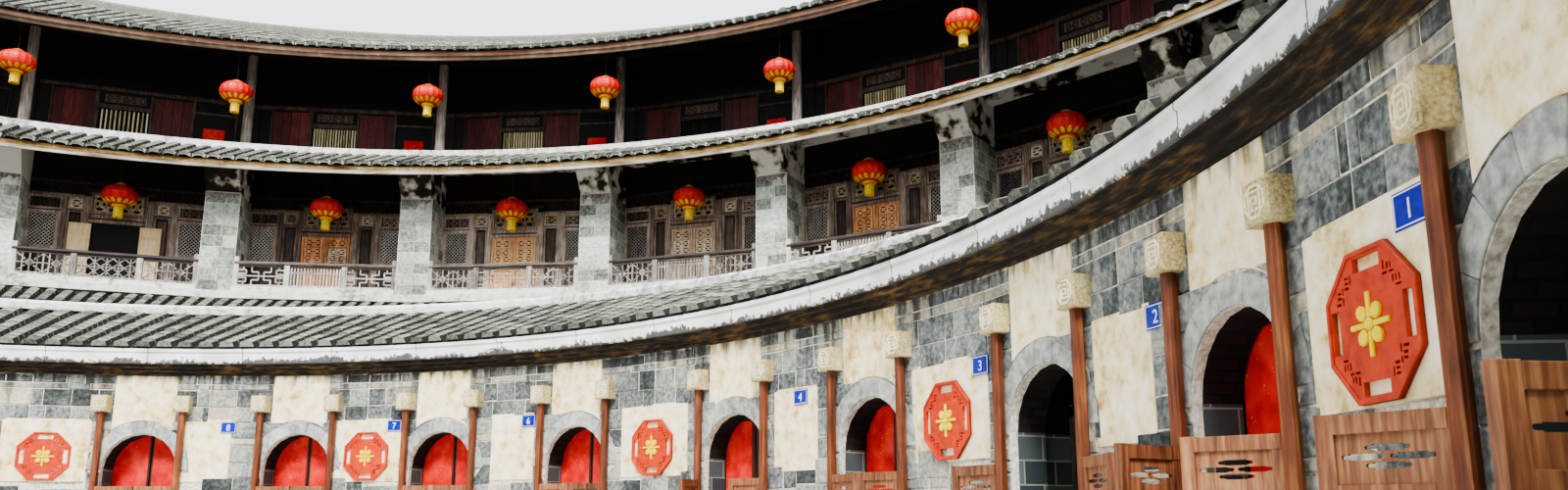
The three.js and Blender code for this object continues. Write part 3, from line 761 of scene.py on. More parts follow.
# House plates: small enamelled steel plates with a white rim and a plain number, pinned beside
# the left pole of most doors.
PLATE_ALONG = {9: -790, 8: -670, 7: -830, 5: -980, 4: -610, 3: -680, 2: -695}
PLATE_HEIGHT = 2090.0
BLUE_ENAMEL = aged("blue enamel", "30 111c80  50 1827a0  80 2738b4", 50, 0.2, 0.25)
WHITE_ENAMEL = aged("white enamel", "30 e2e4ea  60 f4f5f8", 50, 0.2, 0.3)
plates = Heap()
for bay, along in PLATE_ALONG.items():
    on_plate = wall_place(bay, along, PLATE_HEIGHT)
    plank(plates, on_plate, -100, 100, -72, 72, 14, 20, 2, 0.5, 0)
    for sides in ((-93, 93, 60, 65), (-93, 93, -65, -60), (-93, -88, -60, 60), (88, 93, -60, 60)):
        plank(plates, on_plate, *sides, 19, 21.5, 0.5, 0.5, 1)
    digits = bpy.data.curves.new("number", "FONT")
    digits.body = str(bay - 1)
    digits.align_x = "CENTER"
    digits.size = 0.11
    digits.extrude = 0.001
    writing = bpy.data.objects.new("number", digits)
    bpy.context.scene.collection.objects.link(writing)
    bpy.context.view_layer.update()
    letter = bpy.data.meshes.new_from_object(writing.evaluated_get(bpy.context.evaluated_depsgraph_get()))
    points = [on_plate(v.co.x * 1000, 21 + v.co.z * 1000, v.co.y * 1000 - 40) for v in letter.vertices]
    plates.solid(points, [tuple(face.vertices) for face in letter.polygons], 0.5, 1)
    bpy.data.objects.remove(writing)
    bpy.data.meshes.remove(letter)
plates.make("number_plates", [BLUE_ENAMEL, WHITE_ENAMEL], slot="plaster")

# Courtyard eave: a stepped brick cornice in lime plaster over the stone, with a smooth curved
# fascia cracked every metre and black with mould along its lower edge.
# The solids' rings are many-sided, and a circle wider by EVEN runs through their corners and flats.
EAVE_PARTS = 168
EVEN = 1.0021


def sweep(heap, profile, finish=0, finishes=None):
    """A closed outline of (radius, height) points carried round the whole ring."""
    count = len(profile)
    points = []
    for i in range(EAVE_PARTS):
        c, s = math.cos(2 * math.pi * i / EAVE_PARTS), math.sin(2 * math.pi * i / EAVE_PARTS)
        points += [(r * EVEN * c * REAL, r * EVEN * s * REAL, z * REAL) for r, z in profile]
    faces, kinds = [], []
    for k in range(count):
        faces += [(i * count + k, i * count + (k + 1) % count,
                   (i + 1) % EAVE_PARTS * count + (k + 1) % count,
                   (i + 1) % EAVE_PARTS * count + k) for i in range(EAVE_PARTS)]
        kinds += [finishes[k] if finishes else finish] * EAVE_PARTS
    heap.solid(points, faces, 0.5)
    heap.finishes[-len(kinds):] = kinds


def ring_piece(name, node, materials, profile, finishes=None, slot="roof_tile"):
    """A mesh of one outline carried round the ring, in the place of one solid."""
    heap = Heap()
    sweep(heap, profile, finishes=finishes)
    heap.make(name, materials, slot=slot, nodes=[node])


def eave_plaster():
    """White lime plaster: crack lines a metre apart, grey blooms, mould at the drip edge."""
    material, tree, place = new_material("white lime plaster fascia", 0.88)
    fine = noise(tree, place, per(55), 8.0, 0.66)
    broad = noise(tree, place, per(600), 4.0)
    white = ramp(tree, broad, "30 c9c9c2  48 e6e7e3  60 f3f4f2")
    low = remap(tree, split(tree, place)["Z"], 2985 * REAL, 2880 * REAL, -0.1, 0.3)
    spread = calc(tree, "MULTIPLY_ADD", broad, 0.9, -0.42)
    grown = calc(tree, "ADD", calc(tree, "ADD", fine, low), spread)
    mould = blend(tree, remap(tree, grown, 0.62, 0.72, 0.0, 0.92), white, colour("24231e"))
    cracks = brickwork(tree, around(tree, place, 9310), ("ffffff", "ffffff"), "34332f", 5, 1190, 9000,
                       0.2, 0.0)
    return surface(material, blend(tree, 1.0, mould, cracks["Color"], "MULTIPLY"), fine, 4)


EAVE_PLASTER = eave_plaster()
# The cornice's underside: lime over brick, nearly black with soot and damp, ochre where it runs.
SOOTED_CORNICE = aged("sooted cornice plaster", "30 16120e  50 2a2219  62 5b4527  80 8c6f41",
                      60, 6, 0.9, (0.35, 1, 1.6), 9400)
ring_piece("courtyard_cornice", "inner_eave", [EAVE_PLASTER, SOOTED_CORNICE],
           [(10040, 2752), (10040, 3330), (9282, 3072), (9282, 3034), (9300, 3026), (9300, 2890),
            (9312, 2880), (9352, 2880), (9352, 2838), (9408, 2838), (9408, 2795), (9462, 2795),
            (9462, 2752)], [0, 0, 0, 0, 0, 0, 1, 1, 1, 1, 1, 1, 1], slot="plaster")

# Tiled roofs: small grey fired-clay tiles laid dry on rafters in close courses, in humped rows
# that run from eave to ridge with dark gullies between them. Each roof is one bed of boards and
# under-tiles with its rows of tiles on it; old lichen and moss mottle them.
ROW_SHARE = 0.7


def tiling_tree():
    """Rows of tiles from a foot to a head radius, all round the ring."""
    tree = bpy.data.node_groups.new("tile rows", "GeometryNodeTree")
    for name, kind in (("Tile", "Object"), ("Rows", "Int"), ("Courses", "Int"), ("Foot Radius", "Float"),
                       ("Foot Height", "Float"), ("Head Radius", "Float"), ("Head Height", "Float"),
                       ("Turn", "Float"), ("Play", "Float"), ("Seed", "Int"), ("Finish", "Material")):
        tree.interface.new_socket(name, in_out="INPUT", socket_type="NodeSocket" + kind)
    tree.interface.new_socket("Geometry", in_out="OUTPUT", socket_type="NodeSocketGeometry")
    given = add(tree, "NodeGroupInput").outputs
    courses, foot, head = given["Courses"], given["Foot Radius"], given["Head Radius"]
    count = calc(tree, "MULTIPLY", given["Rows"], courses)
    spots = add(tree, "GeometryNodeMeshLine", {"Count": count})
    index = add(tree, "GeometryNodeInputIndex").outputs[0]
    row = calc(tree, "FLOOR", calc(tree, "DIVIDE", index, courses))
    up = calc(tree, "DIVIDE", calc(tree, "ADD", calc(tree, "MODULO", index, courses), 0.5), courses)
    radius = remap(tree, up, 0.0, 1.0, foot, head)
    height = remap(tree, up, 0.0, 1.0, given["Foot Height"], given["Head Height"])
    angle = calc(tree, "DIVIDE", calc(tree, "MULTIPLY", row, 2 * math.pi), given["Rows"])
    x = calc(tree, "MULTIPLY", calc(tree, "COSINE", angle), radius)
    y = calc(tree, "MULTIPLY", calc(tree, "SINE", angle), radius)
    spot = add(tree, "ShaderNodeCombineXYZ", {0: x, 1: y, 2: height})
    placed = add(tree, "GeometryNodeSetPosition",
                 {"Geometry": spots.outputs[0], "Position": spot.outputs[0]})
    rise = calc(tree, "SUBTRACT", given["Foot Height"], given["Head Height"])
    pitch = calc(tree, "ARCTAN2", rise, calc(tree, "ABSOLUTE", calc(tree, "SUBTRACT", head, foot)))
    chance = add(tree, "FunctionNodeRandomValue", {2: -1.0, 3: 1.0, "Seed": given["Seed"]},
                 data_type="FLOAT")
    askew = calc(tree, "MULTIPLY", chance.outputs[1], given["Play"])
    heading = calc(tree, "ADD", calc(tree, "ADD", angle, given["Turn"]), askew)
    angles = add(tree, "ShaderNodeCombineXYZ", {0: 0.0, 1: pitch, 2: heading})
    facing = add(tree, "FunctionNodeEulerToRotation", {0: angles.outputs[0]})
    width = calc(tree, "DIVIDE", calc(tree, "MULTIPLY", radius, 2.0), calc(tree, "ADD", head, foot))
    size = add(tree, "ShaderNodeCombineXYZ",
               {0: 1.0, 1: width, 2: calc(tree, "MULTIPLY_ADD", askew, 4.0, 1.0)})
    tile = add(tree, "GeometryNodeObjectInfo", {"Object": given["Tile"]})
    laid = add(tree, "GeometryNodeInstanceOnPoints", {
        "Points": placed.outputs[0], "Instance": tile.outputs["Geometry"], "Rotation": facing.outputs[0],
        "Scale": size.outputs[0]})
    shade = add(tree, "FunctionNodeRandomValue", {2: 0.0, 3: 1.0, "Seed": given["Seed"]},
                data_type="FLOAT")
    toned = add(tree, "GeometryNodeStoreNamedAttribute", {"Geometry": laid.outputs[0], "Name": "tone",
                                                          "Value": shade.outputs[1]}, domain="INSTANCE")
    real = add(tree, "GeometryNodeRealizeInstances", {0: toned.outputs[0]})
    coated = add(tree, "GeometryNodeSetMaterial",
                 {"Geometry": real.outputs[0], "Material": given["Finish"]})
    out = add(tree, "NodeGroupOutput")
    tree.links.new(coated.outputs[0], out.inputs[0])
    return tree


TILING = tiling_tree()


def hump(long, wide, tall, lift):
    """One tile of a row, from its low end: a closed half-round, thinner at its head."""
    half = wide / 2
    section = [(-half, 0.0), (-0.8 * half, 0.72 * tall), (0.0, tall), (0.8 * half, 0.72 * tall),
               (half, 0.0)]
    points = [(-long / 2, y, z + (lift if z else 0)) for y, z in section]
    points += [(long / 2, 0.95 * y, z * 0.93) for y, z in section]
    count = len(section)
    faces = [tuple(range(count)), tuple(range(2 * count - 1, count - 1, -1))]
    faces += [(i, i + count, (i + 1) % count + count, (i + 1) % count) for i in range(count)]
    return points, faces


def tile_rows(name, shape, rows, courses, foot, head, seed, material, play=0.035):
    """A roof's rows of tiles as one plain mesh that rides with the building."""
    points, faces = shape
    pattern = bpy.data.meshes.new("one tile")
    pattern.from_pydata([tuple(v * REAL for v in point) for point in points], [], faces)
    tile = bpy.data.objects.new("one tile", pattern)
    roof = bpy.data.objects.new(name, bpy.data.meshes.new("roof line"))
    for thing in (tile, roof):
        bpy.context.scene.collection.objects.link(thing)
    rule = roof.modifiers.new("tile rows", "NODES")
    rule.node_group = TILING
    values = {"Tile": tile, "Rows": rows, "Courses": courses, "Foot Radius": foot[0] * REAL,
              "Foot Height": foot[1] * REAL, "Head Radius": head[0] * REAL, "Head Height": head[1] * REAL,
              "Turn": 0.0 if head[0] > foot[0] else math.pi, "Play": play, "Seed": seed,
              "Finish": material}
    for socket in TILING.interface.items_tree:
        if socket.in_out == "INPUT":
            rule[socket.identifier] = values[socket.name]
    laid = bpy.data.meshes.new_from_object(roof.evaluated_get(bpy.context.evaluated_depsgraph_get()))
    roof.modifiers.clear()
    roof.data = laid
    bpy.data.objects.remove(tile)
    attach(roof, "building")


def sloped(name, foot, head, rows_per_bay, courses, seed):
    """Rows of tiles on one slope, their size from the slope's length and the ring's girth."""
    long = math.dist(foot, head) / courses
    wide = math.pi * (foot[0] + head[0]) / (rows_per_bay * BAYS)
    shape = hump(long * 1.3, wide * ROW_SHARE, 68, 9)
    tile_rows(name, shape, rows_per_bay * BAYS, courses, foot, head, seed, OLD_TILE)


def paint_flank_shade(material, shade):
    """Painted shade in the gullies: faces that look sideways along the ring are darker, as if in shadow.
    """
    tree = material.node_tree
    backs = socket_of(material, "Base Color")
    level = stretched(tree, own_place(tree), (1.0, 1.0, 0.0))
    outward = add(tree, "ShaderNodeVectorMath", {0: level}, operation="NORMALIZE").outputs[0]
    facing = add(tree, "ShaderNodeNewGeometry").outputs["True Normal"]
    sideways = add(tree, "ShaderNodeVectorMath", {0: facing, 1: outward},
                   operation="CROSS_PRODUCT").outputs[0]
    flank = remap(tree, calc(tree, "ABSOLUTE", split(tree, sideways)["Z"]), 0.5, 0.8, 0.0, 0.92)
    tree.links.new(blend(tree, flank, backs.links[0].from_socket, colour(shade)), backs)


# Fired grey clay, soft-edged and porous: charcoal when new, bleached and mossed on its back.
OLD_TILE = aged("old grey clay tile", "14 2b2b26  36 56564d  52 79786d  70 969588  90 85854f", 30, 5,
                0.93, tone=0.35, patch=0.2)
# Painted shade: the flanks and steps of the tile rows are darkened by the way they face.
paint_flank_shade(OLD_TILE, "14110d")
# Painted shade: the under-tiles between the rows are near-black, standing for the shadow in the gullies.
GULLY_SHADE = aged("under-tiles painted dark as gully shade", "30 0a0a08  60 1b1a16  80 302f27", 70, 6, 0.95)
# Painted shade: the roofs' undersides are sooted and coloured near-black as the shadow under the eaves.
UNDER_EAVE_SHADE = aged("sooted rafters and boards in painted shade", "30 0d0a08  55 1f1712  80 3a2c22", 90, 3, 0.85,
                  (0.1, 1, 1), 16000)
# Lime mortar that caps the ridges and the heads of the lean-to roofs: white, grey where it is wet.
CAP_PLASTER = aged("limewashed mortar cap", "20 55564f  36 a3a49c  48 dadad3  75 f4f4f0", 120, 4, 0.9)

LOW_SLOPE, LOW_RIDGE, LOW_UNDER = 0.405, 11067.0, 3065.0
LOW_TOP = LOW_UNDER + LOW_SLOPE * (LOW_RIDGE - 9290)
ring_piece("courtyard_roof_bed", "inner_roof", [GULLY_SHADE, UNDER_EAVE_SHADE],
           [(9292, 3066), (LOW_RIDGE, LOW_TOP), (12842, 3066), (12842, 3106), (LOW_RIDGE, LOW_TOP + 42),
            (9292, 3106)], [1, 1, 0, 0, 0, 0])
sloped("courtyard_roof_tiles", (9300, 3106), (10985, 3106 + LOW_SLOPE * 1685), 8, 12, 1)
sloped("light_well_roof_tiles", (12834, 3106), (11149, 3106 + LOW_SLOPE * 1685), 8, 7, 2)
ring_piece("courtyard_roof_cap", "inner_ridge", [CAP_PLASTER],
           [(LOW_RIDGE - 98, 3830), (LOW_RIDGE - 98, 3925), (LOW_RIDGE - 70, 3962),
            (LOW_RIDGE + 70, 3962), (LOW_RIDGE + 98, 3925), (LOW_RIDGE + 98, 3830)], slot="plaster")

HIGH_SLOPE, HIGH_UNDER, HIGH_RIDGE = 0.5, 10535.0, 19950.0
HIGH_EAVE, HIGH_OUT = 16623.0, 23400.0
HIGH_TOP = HIGH_UNDER + HIGH_SLOPE * (HIGH_RIDGE - HIGH_EAVE)
HIGH_FALL = HIGH_TOP - HIGH_SLOPE * (HIGH_OUT - HIGH_RIDGE)
ring_piece("court_side_roof_bed", "outer_roof_court_slope", [GULLY_SHADE, UNDER_EAVE_SHADE],
           [(HIGH_EAVE + 4, HIGH_UNDER + 1), (HIGH_RIDGE, HIGH_TOP), (HIGH_RIDGE, HIGH_TOP + 50),
            (HIGH_EAVE + 4, HIGH_UNDER + 50)], [1, 0, 0, 0])
sloped("court_side_roof_tiles", (HIGH_EAVE + 10, HIGH_UNDER + 52),
       (19860, HIGH_UNDER + 52 + 0.5 * 3227), 16, 9, 3)
ring_piece("field_side_roof_bed", "outer_roof_outer_slope", [GULLY_SHADE, UNDER_EAVE_SHADE],
           [(HIGH_RIDGE + 1, HIGH_TOP), (HIGH_OUT - 20, HIGH_FALL + 10),
            (HIGH_OUT - 20, HIGH_FALL + 60), (HIGH_RIDGE + 1, HIGH_TOP + 50)], [1, 0, 0, 0])
sloped("field_side_roof_tiles", (HIGH_OUT - 26, HIGH_FALL + 62), (20040, HIGH_FALL + 62 + 0.5 * 3334),
       20, 9, 4)
ring_piece("high_ridge_cap", "outer_ridge", [OLD_TILE],
           [(HIGH_RIDGE - 88, HIGH_TOP + 52), (HIGH_RIDGE - 80, 12400), (HIGH_RIDGE - 40, 12470),
            (HIGH_RIDGE + 40, 12470), (HIGH_RIDGE + 80, 12400), (HIGH_RIDGE + 88, HIGH_TOP + 52)])

PENT_SLOPE, PENT_UNDER, PENT_EAVE, PENT_BACK = 0.44, 7700.0, 15700.0, 17249.0
PENT_TOP = PENT_UNDER + PENT_SLOPE * (PENT_BACK - PENT_EAVE)
ring_piece("gallery_roof_bed", "gallery_pent_roof", [GULLY_SHADE, UNDER_EAVE_SHADE, CAP_PLASTER],
           [(PENT_EAVE + 4, PENT_UNDER + 1), (PENT_BACK, PENT_TOP), (PENT_BACK, PENT_TOP + 178),
            (PENT_BACK - 118, PENT_TOP + 170), (PENT_BACK - 118, PENT_TOP - 10),
            (PENT_EAVE + 4, PENT_UNDER + 42)], [1, 0, 2, 2, 0, 0])
sloped("gallery_roof_tiles", (PENT_EAVE + 10, PENT_UNDER + 44),
       (17125, PENT_UNDER + 44 + PENT_SLOPE * 1415), 14, 7, 5)
ring_piece("skirt_roof_bed", "base_pent_roof", [GULLY_SHADE, UNDER_EAVE_SHADE],
           [(15752, 4711), (16475, 5039), (16475, 5083), (15752, 4755)], [1, 0, 0, 0])
sloped("skirt_roof_tiles", (15760, 4757), (16440, 5066), 14, 5, 6)

# Eaves of the outer ring: a stack of three bowed tile ends closes each row, on a long fascia
# board and a thinner board below it. The gallery's boards are smeared with lime and rain-washed.
TILE_END = aged("bleached tile ends", "25 26261f  42 77776c  55 b3b3a9  80 dddcd4",
                30, 4, 0.92, tone=0.45)


def bowed_ends(reach):
    """Three bowed plates on each other at a row's low end, the top one nearest the court."""
    points, faces = [], []
    parts = 4
    for layer in range(3):
        x, foot = -26 + layer * 13, layer * 17 - 20
        first = len(points)
        for out in (x, x + 60):
            for near in (reach, reach - 15):
                for i in range(parts + 1):
                    turn = math.pi * (0.14 + 0.72 * i / parts)
                    points.append((out, near * math.cos(turn), foot + near * math.sin(turn) * 0.62))
        a, b, c, d = (first + k * (parts + 1) for k in range(4))
        for i in range(parts):
            faces += [(a + i, b + i, b + i + 1, a + i + 1), (c + i, c + i + 1, d + i + 1, d + i),
                      (a + i, a + i + 1, c + i + 1, c + i), (b + i, d + i, d + i + 1, b + i + 1)]
        faces += [(a, c, d, b), (a + parts, b + parts, d + parts, c + parts)]
    return points, faces


tile_rows("gallery_tile_ends", bowed_ends(126), 14 * BAYS, 1, (15700, 7700), (15720, 7709), 7, TILE_END)
tile_rows("high_tile_ends", bowed_ends(118), 16 * BAYS, 1, (16622, 10545), (16642, 10555), 8, TILE_END)
LIMED_BOARD = aged("lime-smeared fascia board", "20 2b1d11  36 7c5d31  50 c49a58  66 dcc190  84 efe9da",
                   60, 3, 0.85, (0.12, 1, 1), 15723)
WASHED_BOARD = aged("rain-washed fascia board", "20 4a3b34  38 857467  52 b5a89b  75 ded7cc",
                    60, 3, 0.85, (0.08, 1, 1), 15723)
SUN_BOARD = aged("sun-bleached eave board", "20 5f3d31  40 a0705a  56 c4967c  80 dfc0aa",
                 70, 2, 0.8, (0.08, 1, 1), 16673)
DAMP_BOARD = aged("damp eave board", "20 1d1713  42 4b3b2f  60 6d5946  80 8f7a60",
                  70, 2, 0.85, (0.08, 1, 1), 16673)
gallery_boards, high_boards = Heap(), Heap()
sweep(gallery_boards, [(15722, 7632), (15760, 7632), (15760, 7722), (15722, 7706)], finish=0)
sweep(gallery_boards, [(15728, 7557), (15766, 7557), (15766, 7628), (15728, 7628)], finish=1)
gallery_boards.make("gallery_fascia_boards", [LIMED_BOARD, WASHED_BOARD], slot="eave_timber",
                    nodes=["gallery_eave_board"])
sweep(high_boards, [(16673, 10458), (16712, 10458), (16712, 10570), (16673, 10555)], finish=0)
sweep(high_boards, [(16690, 10369), (16730, 10369), (16730, 10454), (16690, 10454)], finish=1)
high_boards.make("high_fascia_boards", [SUN_BOARD, DAMP_BOARD], slot="eave_timber",
                 nodes=["top_eave_board"])

# Gallery piers: pale grey-green bricks the size of small blocks, laid two to a course in white
# lime joints, with a painted leaf band under a plastered cove that carries the gallery's eave.
PIER_FACE, PIER_HALF = 16584.0, 315.0
GALLERY_FLOOR, COVE_FOOT, PIER_COURSE = 5302.0, 7300.0, 222.0
LEAF_HEAD = 7290.0


def pier_core():
    """White lime joints up to the cove; above it plaster blackened by smoke, flaking to white."""
    material, tree, place = new_material("lime joints and smoked cove plaster", 0.9)
    fine = noise(tree, place, per(70), 8.0, 0.6)
    lime = ramp(tree, fine, "30 a7a99f  50 dcdcd2  70 f1f1ea")
    broad = noise(tree, place, per(2600), 2.0)
    both = calc(tree, "MULTIPLY_ADD", broad, 0.9, -0.45)
    patches = noise(tree, place, per(280), 6.0)
    flake = calc(tree, "ADD", patches, both)
    smoked = ramp(tree, flake, "30 15110e  45 33281f  49 a79f90  58 ece8dd")
    high = calc(tree, "GREATER_THAN", split(tree, place)["Z"], COVE_FOOT * REAL)
    return surface(material, blend(tree, high, lime, smoked), fine, 4)


dress("gallery_piers", pier_core())
# Kiln-grey brick, hard and smooth, each block its own shade from slate to pale green-white.
PALE_BRICK = aged("pale grey-green brick", "16 53564e  34 82867c  50 a9ada1  66 cacdc1  86 eaece2", 60,
                  2.5, 0.85, tone=0.42, streak=("33332d", 7400, 6700, 0.6))
LEAF_PAINT = aged("smoked leaf painting", "25 3f3632  45 7c6c66  60 a89a92  80 d2c9bf", 40, 1.5, 0.88)
WHITE_LINE = aged("white lime line", "25 a9a79e  50 e4e3dc  80 f6f6f2", 60, 1, 0.88)
blocks = Heap()
for number in range(BAYS):
    on_pier = face_place(number + 0.5, PIER_FACE)
    board = partial(plank, blocks, on_pier)
    for course in range(9):
        z0 = GALLERY_FLOOR + course * PIER_COURSE + 6
        z1 = z0 + PIER_COURSE - 12
        joint = (-80, 0, 70, 20)[(course + number) % 4]
        for x0, x1 in ((-PIER_HALF - 5, joint - 6), (joint + 6, PIER_HALF + 5)):
            board(x0, x1, z0, z1, -3, 6, 4, rng.random())
        for side in (-1, 1):
            def on_pier_side(u, out, z):
                return in_bay(number + 0.5, side * (PIER_HALF + out), PIER_FACE + u, z)

            cuts = [5, 190, 430, 670, 840] if course % 2 else [5, 310, 550, 840]
            for u0, u1 in zip(cuts, cuts[1:]):
                plank(blocks, on_pier_side, u0 + 6, u1 - 6, z0, z1, -3, 6, 4, rng.random())
    board(-321, 321, 7298, 7308, -4, 12, 2, 0.5, 2)
    for x0, x1 in ((-321, -311), (311, 321)):
        board(x0, x1, GALLERY_FLOOR, 7298, -2, 8, 2, 0.5, 2)
    for middle, wide, drop in ((0, 130, 175), (-212, 92, 105), (212, 92, 105)):
        half = [(wide, 0), (wide * 0.8, drop * 0.45), (wide * 0.35, drop * 0.6)]
        leaf = [(middle - x, LEAF_HEAD - z) for x, z in half] + [(middle, LEAF_HEAD - drop)]
        leaf += [(middle + x, LEAF_HEAD - z) for x, z in reversed(half)]
        dressed(blocks, on_pier, leaf, 4, 11, 2, 0.5, 1)
blocks.make("pier_bricks", [PALE_BRICK, LEAF_PAINT, WHITE_LINE], slot="brick")

# Gallery floor: its edge is a band of lime plaster, white, grey where rain runs off the railing.
dress("gallery_floor", CAP_PLASTER)

# Gallery railing: a thick pole rail dark from hands, posts, a shelf board and sawn bars pegged in
# frets; the wood low down is bleached grey. Neighbouring bays have different patterns.
RAIL_FACE, RAIL_REACH = 16540.0, 1536.0
RAIL_FOOT, RAIL_HEAD = 5394.0, 5882.0
BARS_FOOT, BARS_HEAD = 5450.0, 5806.0
DARK_RAIL = grained("handled railing timber", "20 120e0c  42 312722  60 4b3e36  80 786a60",
                    0.65, radius=16500)
GREY_POST = grained("bleached railing timber", "18 3b3531  36 7d766f  52 b0aaa1  70 d9d4ca  90 f2eee6",
                    0.85, tone=0.4)


def upright_bars(x0, x1, z0, z1):
    """Close upright bars with one crossing bar."""
    count = round((x1 - x0) / 62)
    lines = [((x0 + (x1 - x0) * (i + 0.5) / count, z0), (x0 + (x1 - x0) * (i + 0.5) / count, z1))
             for i in range(count)]
    return lines + [((x0, z0 + (z1 - z0) * 0.72), (x1, z0 + (z1 - z0) * 0.72))]


def star_frets(x0, x1, z0, z1):
    """Two squares side by side, each with a cross, its diagonals and a small square on its point."""
    lines = []
    wide = (x1 - x0) / 2
    for k in (0, 1):
        cx, cz = x0 + wide * (k + 0.5), (z0 + z1) / 2
        hx, hz = wide / 2, (z1 - z0) / 2
        for sx, sz in ((1, 1), (1, -1), (-1, 1), (-1, -1)):
            lines.append(((cx + sx * hx * 0.32, cz + sz * hz * 0.32), (cx + sx * hx, cz + sz * hz)))
            lines.append(((cx + sx * hx * 0.36, cz), (cx, cz + sz * hz * 0.36)))
            lines.append(((cx + sx * hx * 0.55, cz), (cx + sx * hx * 0.55, cz + sz * hz)))
        lines += [((cx - hx, cz), (cx + hx, cz)), ((cx, cz - hz), (cx, cz + hz))]
    return lines + [((x0 + wide, z0), (x0 + wide, z1))]


def stepped_frets(x0, x1, z0, z1):
    """Short bars that turn at right angles, mirrored about the middle."""
    lines = []
    cx, cz, hx, hz = (x0 + x1) / 2, (z0 + z1) / 2, (x1 - x0) / 2, (z1 - z0) / 2
    for sx in (-1, 1):
        for sz in (-1, 1):
            for run in (((0.12, 0), (0.12, 0.45), (0.42, 0.45), (0.42, 1.0)),
                        ((1.0, 0.22), (0.66, 0.22), (0.66, 0.68), (1.0, 0.68)),
                        ((0.78, 0.68), (0.78, 1.0))):
                run = [(cx + sx * hx * a, cz + sz * hz * b) for a, b in run]
                lines += zip(run, run[1:])
    return lines + [((cx - hx, cz), (cx + hx, cz))]


def crossed_frets(x0, x1, z0, z1):
    """Slender lozenges in two rows."""
    lines = []
    count, middle = 5, (z0 + z1) / 2
    for i in range(count):
        a, b = x0 + (x1 - x0) * i / count, x0 + (x1 - x0) * (i + 1) / count
        for low, high in ((z0, middle), (middle, z1)):
            lines += [((a, low), (b, high)), ((b, low), (a, high))]
        lines.append((((a + b) / 2, z0), ((a + b) / 2, z1)))
    return lines + [((x0, middle), (x1, middle))]


FRETS = {0: (star_frets, stepped_frets), 1: (stepped_frets, upright_bars), 2: (star_frets, upright_bars),
         3: (star_frets, crossed_frets)}
railing = Heap()
for bay in range(BAYS):
    on_rail = face_place(bay, RAIL_FACE)
    board = partial(plank, railing, on_rail)
    sides, centre = FRETS[{11: 3, 10: 1, 9: 0, 8: 2, 7: 1}.get(bay, bay % 4)]
    pale = rng.uniform(0.2, 0.8)
    board(-RAIL_REACH, RAIL_REACH, GALLERY_FLOOR, RAIL_FOOT, -58, 100, 5, 0.5, 2)
    board(-RAIL_REACH, RAIL_REACH, RAIL_FOOT, BARS_FOOT, -35, 30, 4, pale, 1)
    shaft = [(x, 46) for x in (-RAIL_REACH, -520, 520, RAIL_REACH)]
    tube(railing, lambda a, b, z: on_rail(z, a, RAIL_HEAD + b), (0, 0), [(r, z) for z, r in shaft], 12,
         rng.random())
    board(-RAIL_REACH, RAIL_REACH, BARS_HEAD, 5842, -22, 18, 4, rng.random())
    for x, half, head in ((-1496, 40, 6010), (1496, 40, 6010), (-545, 52, 5850), (545, 52, 5850)):
        board(x - half, x + half, RAIL_FOOT, head, -42, 36, 6, rng.random(), 1)
    for shape, x0, x1 in ((sides, -1455, -598), (centre, -492, 492), (sides, 598, 1455)):
        wide = 26 if shape is upright_bars else 24
        for start, end in shape(x0, x1, BARS_FOOT, BARS_HEAD):
            bar(railing, on_rail, start, end, wide, -12, 12, pale + rng.uniform(-0.2, 0.2), 1)
railing.make("gallery_railing_joinery", [DARK_RAIL, GREY_POST, CAP_PLASTER], slot="dark_timber",
             nodes=["gallery_railing"])

# Gallery fronts: behind each bay's railing stands a fir screen, brown-black with smoke and darkened
# more as painted shade: a carved double door under a pierced panel, a narrow panel each side and a
# lattice window at each end.
SCREEN_FACE, SCREEN_MIDDLE = 17370.0, -105.0
# Painted shade: the smoked boards' ramp is darkened further for the shade behind the railing.
SMOKED_SHADED_FIR = grained("smoked fir boards in painted shade", "20 120d0a  42 31251e  60 514036  85 7f6b5e", 0.75)
# Painted shade: near-black boards that stand for deep shadow under the eaves, behind carvings and
# lattices, and in open doorways.
SHADE_BLACK_FIR = grained("black fir boards for painted shade", "20 060504  42 120d0b  60 1f1814  85 352a24", 0.8)
WORN_FRAME = grained("worn fir frames", "20 33261e  42 6d5a4e  58 9c8778  80 d8c6b7", 0.75, tone=0.5)
CARVED_DOOR = grained("waxed carved doors", "20 5a3117  40 b06d3c  56 d99a64  80 f3cb98", 0.6, tone=0.5)
DRY_DOOR = grained("dry sun-worn doors", "20 59412f  40 9c7d61  56 cbab8c  80 ecd7bf", 0.8)
OLD_GILDING = aged("carving with worn gilding", "20 443729  40 97815f  55 cfb896  80 f4e6cc",
                   30, 2, 0.7, tone=0.5)
PALE_SHUTTER = grained("new pine shutters", "20 c99d62  45 ecc68c  60 f6d8a6  85 fdebc9", 0.6, tone=0.2)
# The top floor takes the black boards of painted shade.
for node, material in (("gallery_screen", SMOKED_SHADED_FIR), ("second_floor", SMOKED_SHADED_FIR),
                       ("top_floor", SHADE_BLACK_FIR)):
    dress(node, material)


def scrolls(half, tall, across, up):
    """A carved panel about the origin, pierced with mirrored scrolls of holes."""
    holes = []
    dx, dz = 2 * half / across, tall / up
    for i in range(across):
        for j in range(up):
            cx, cz = dx * (i + 0.5) - half, dz * (j + 0.5) - tall / 2
            lean = 0.05 if (i + j) % 2 else -0.05
            holes += [ellipse(cx, cz + dz * 0.3, dx * 0.3, dz * 0.1),
                      ellipse(cx, cz - dz * 0.3, dx * 0.3, dz * 0.1),
                      ellipse(cx - dx * (0.27 + lean), cz, dx * 0.13, dz * 0.12, 6),
                      ellipse(cx + dx * (0.27 - lean), cz, dx * 0.13, dz * 0.12, 6)]
    return sawn_panel(oblong(-half, half, -tall / 2, tall / 2), holes, 8)


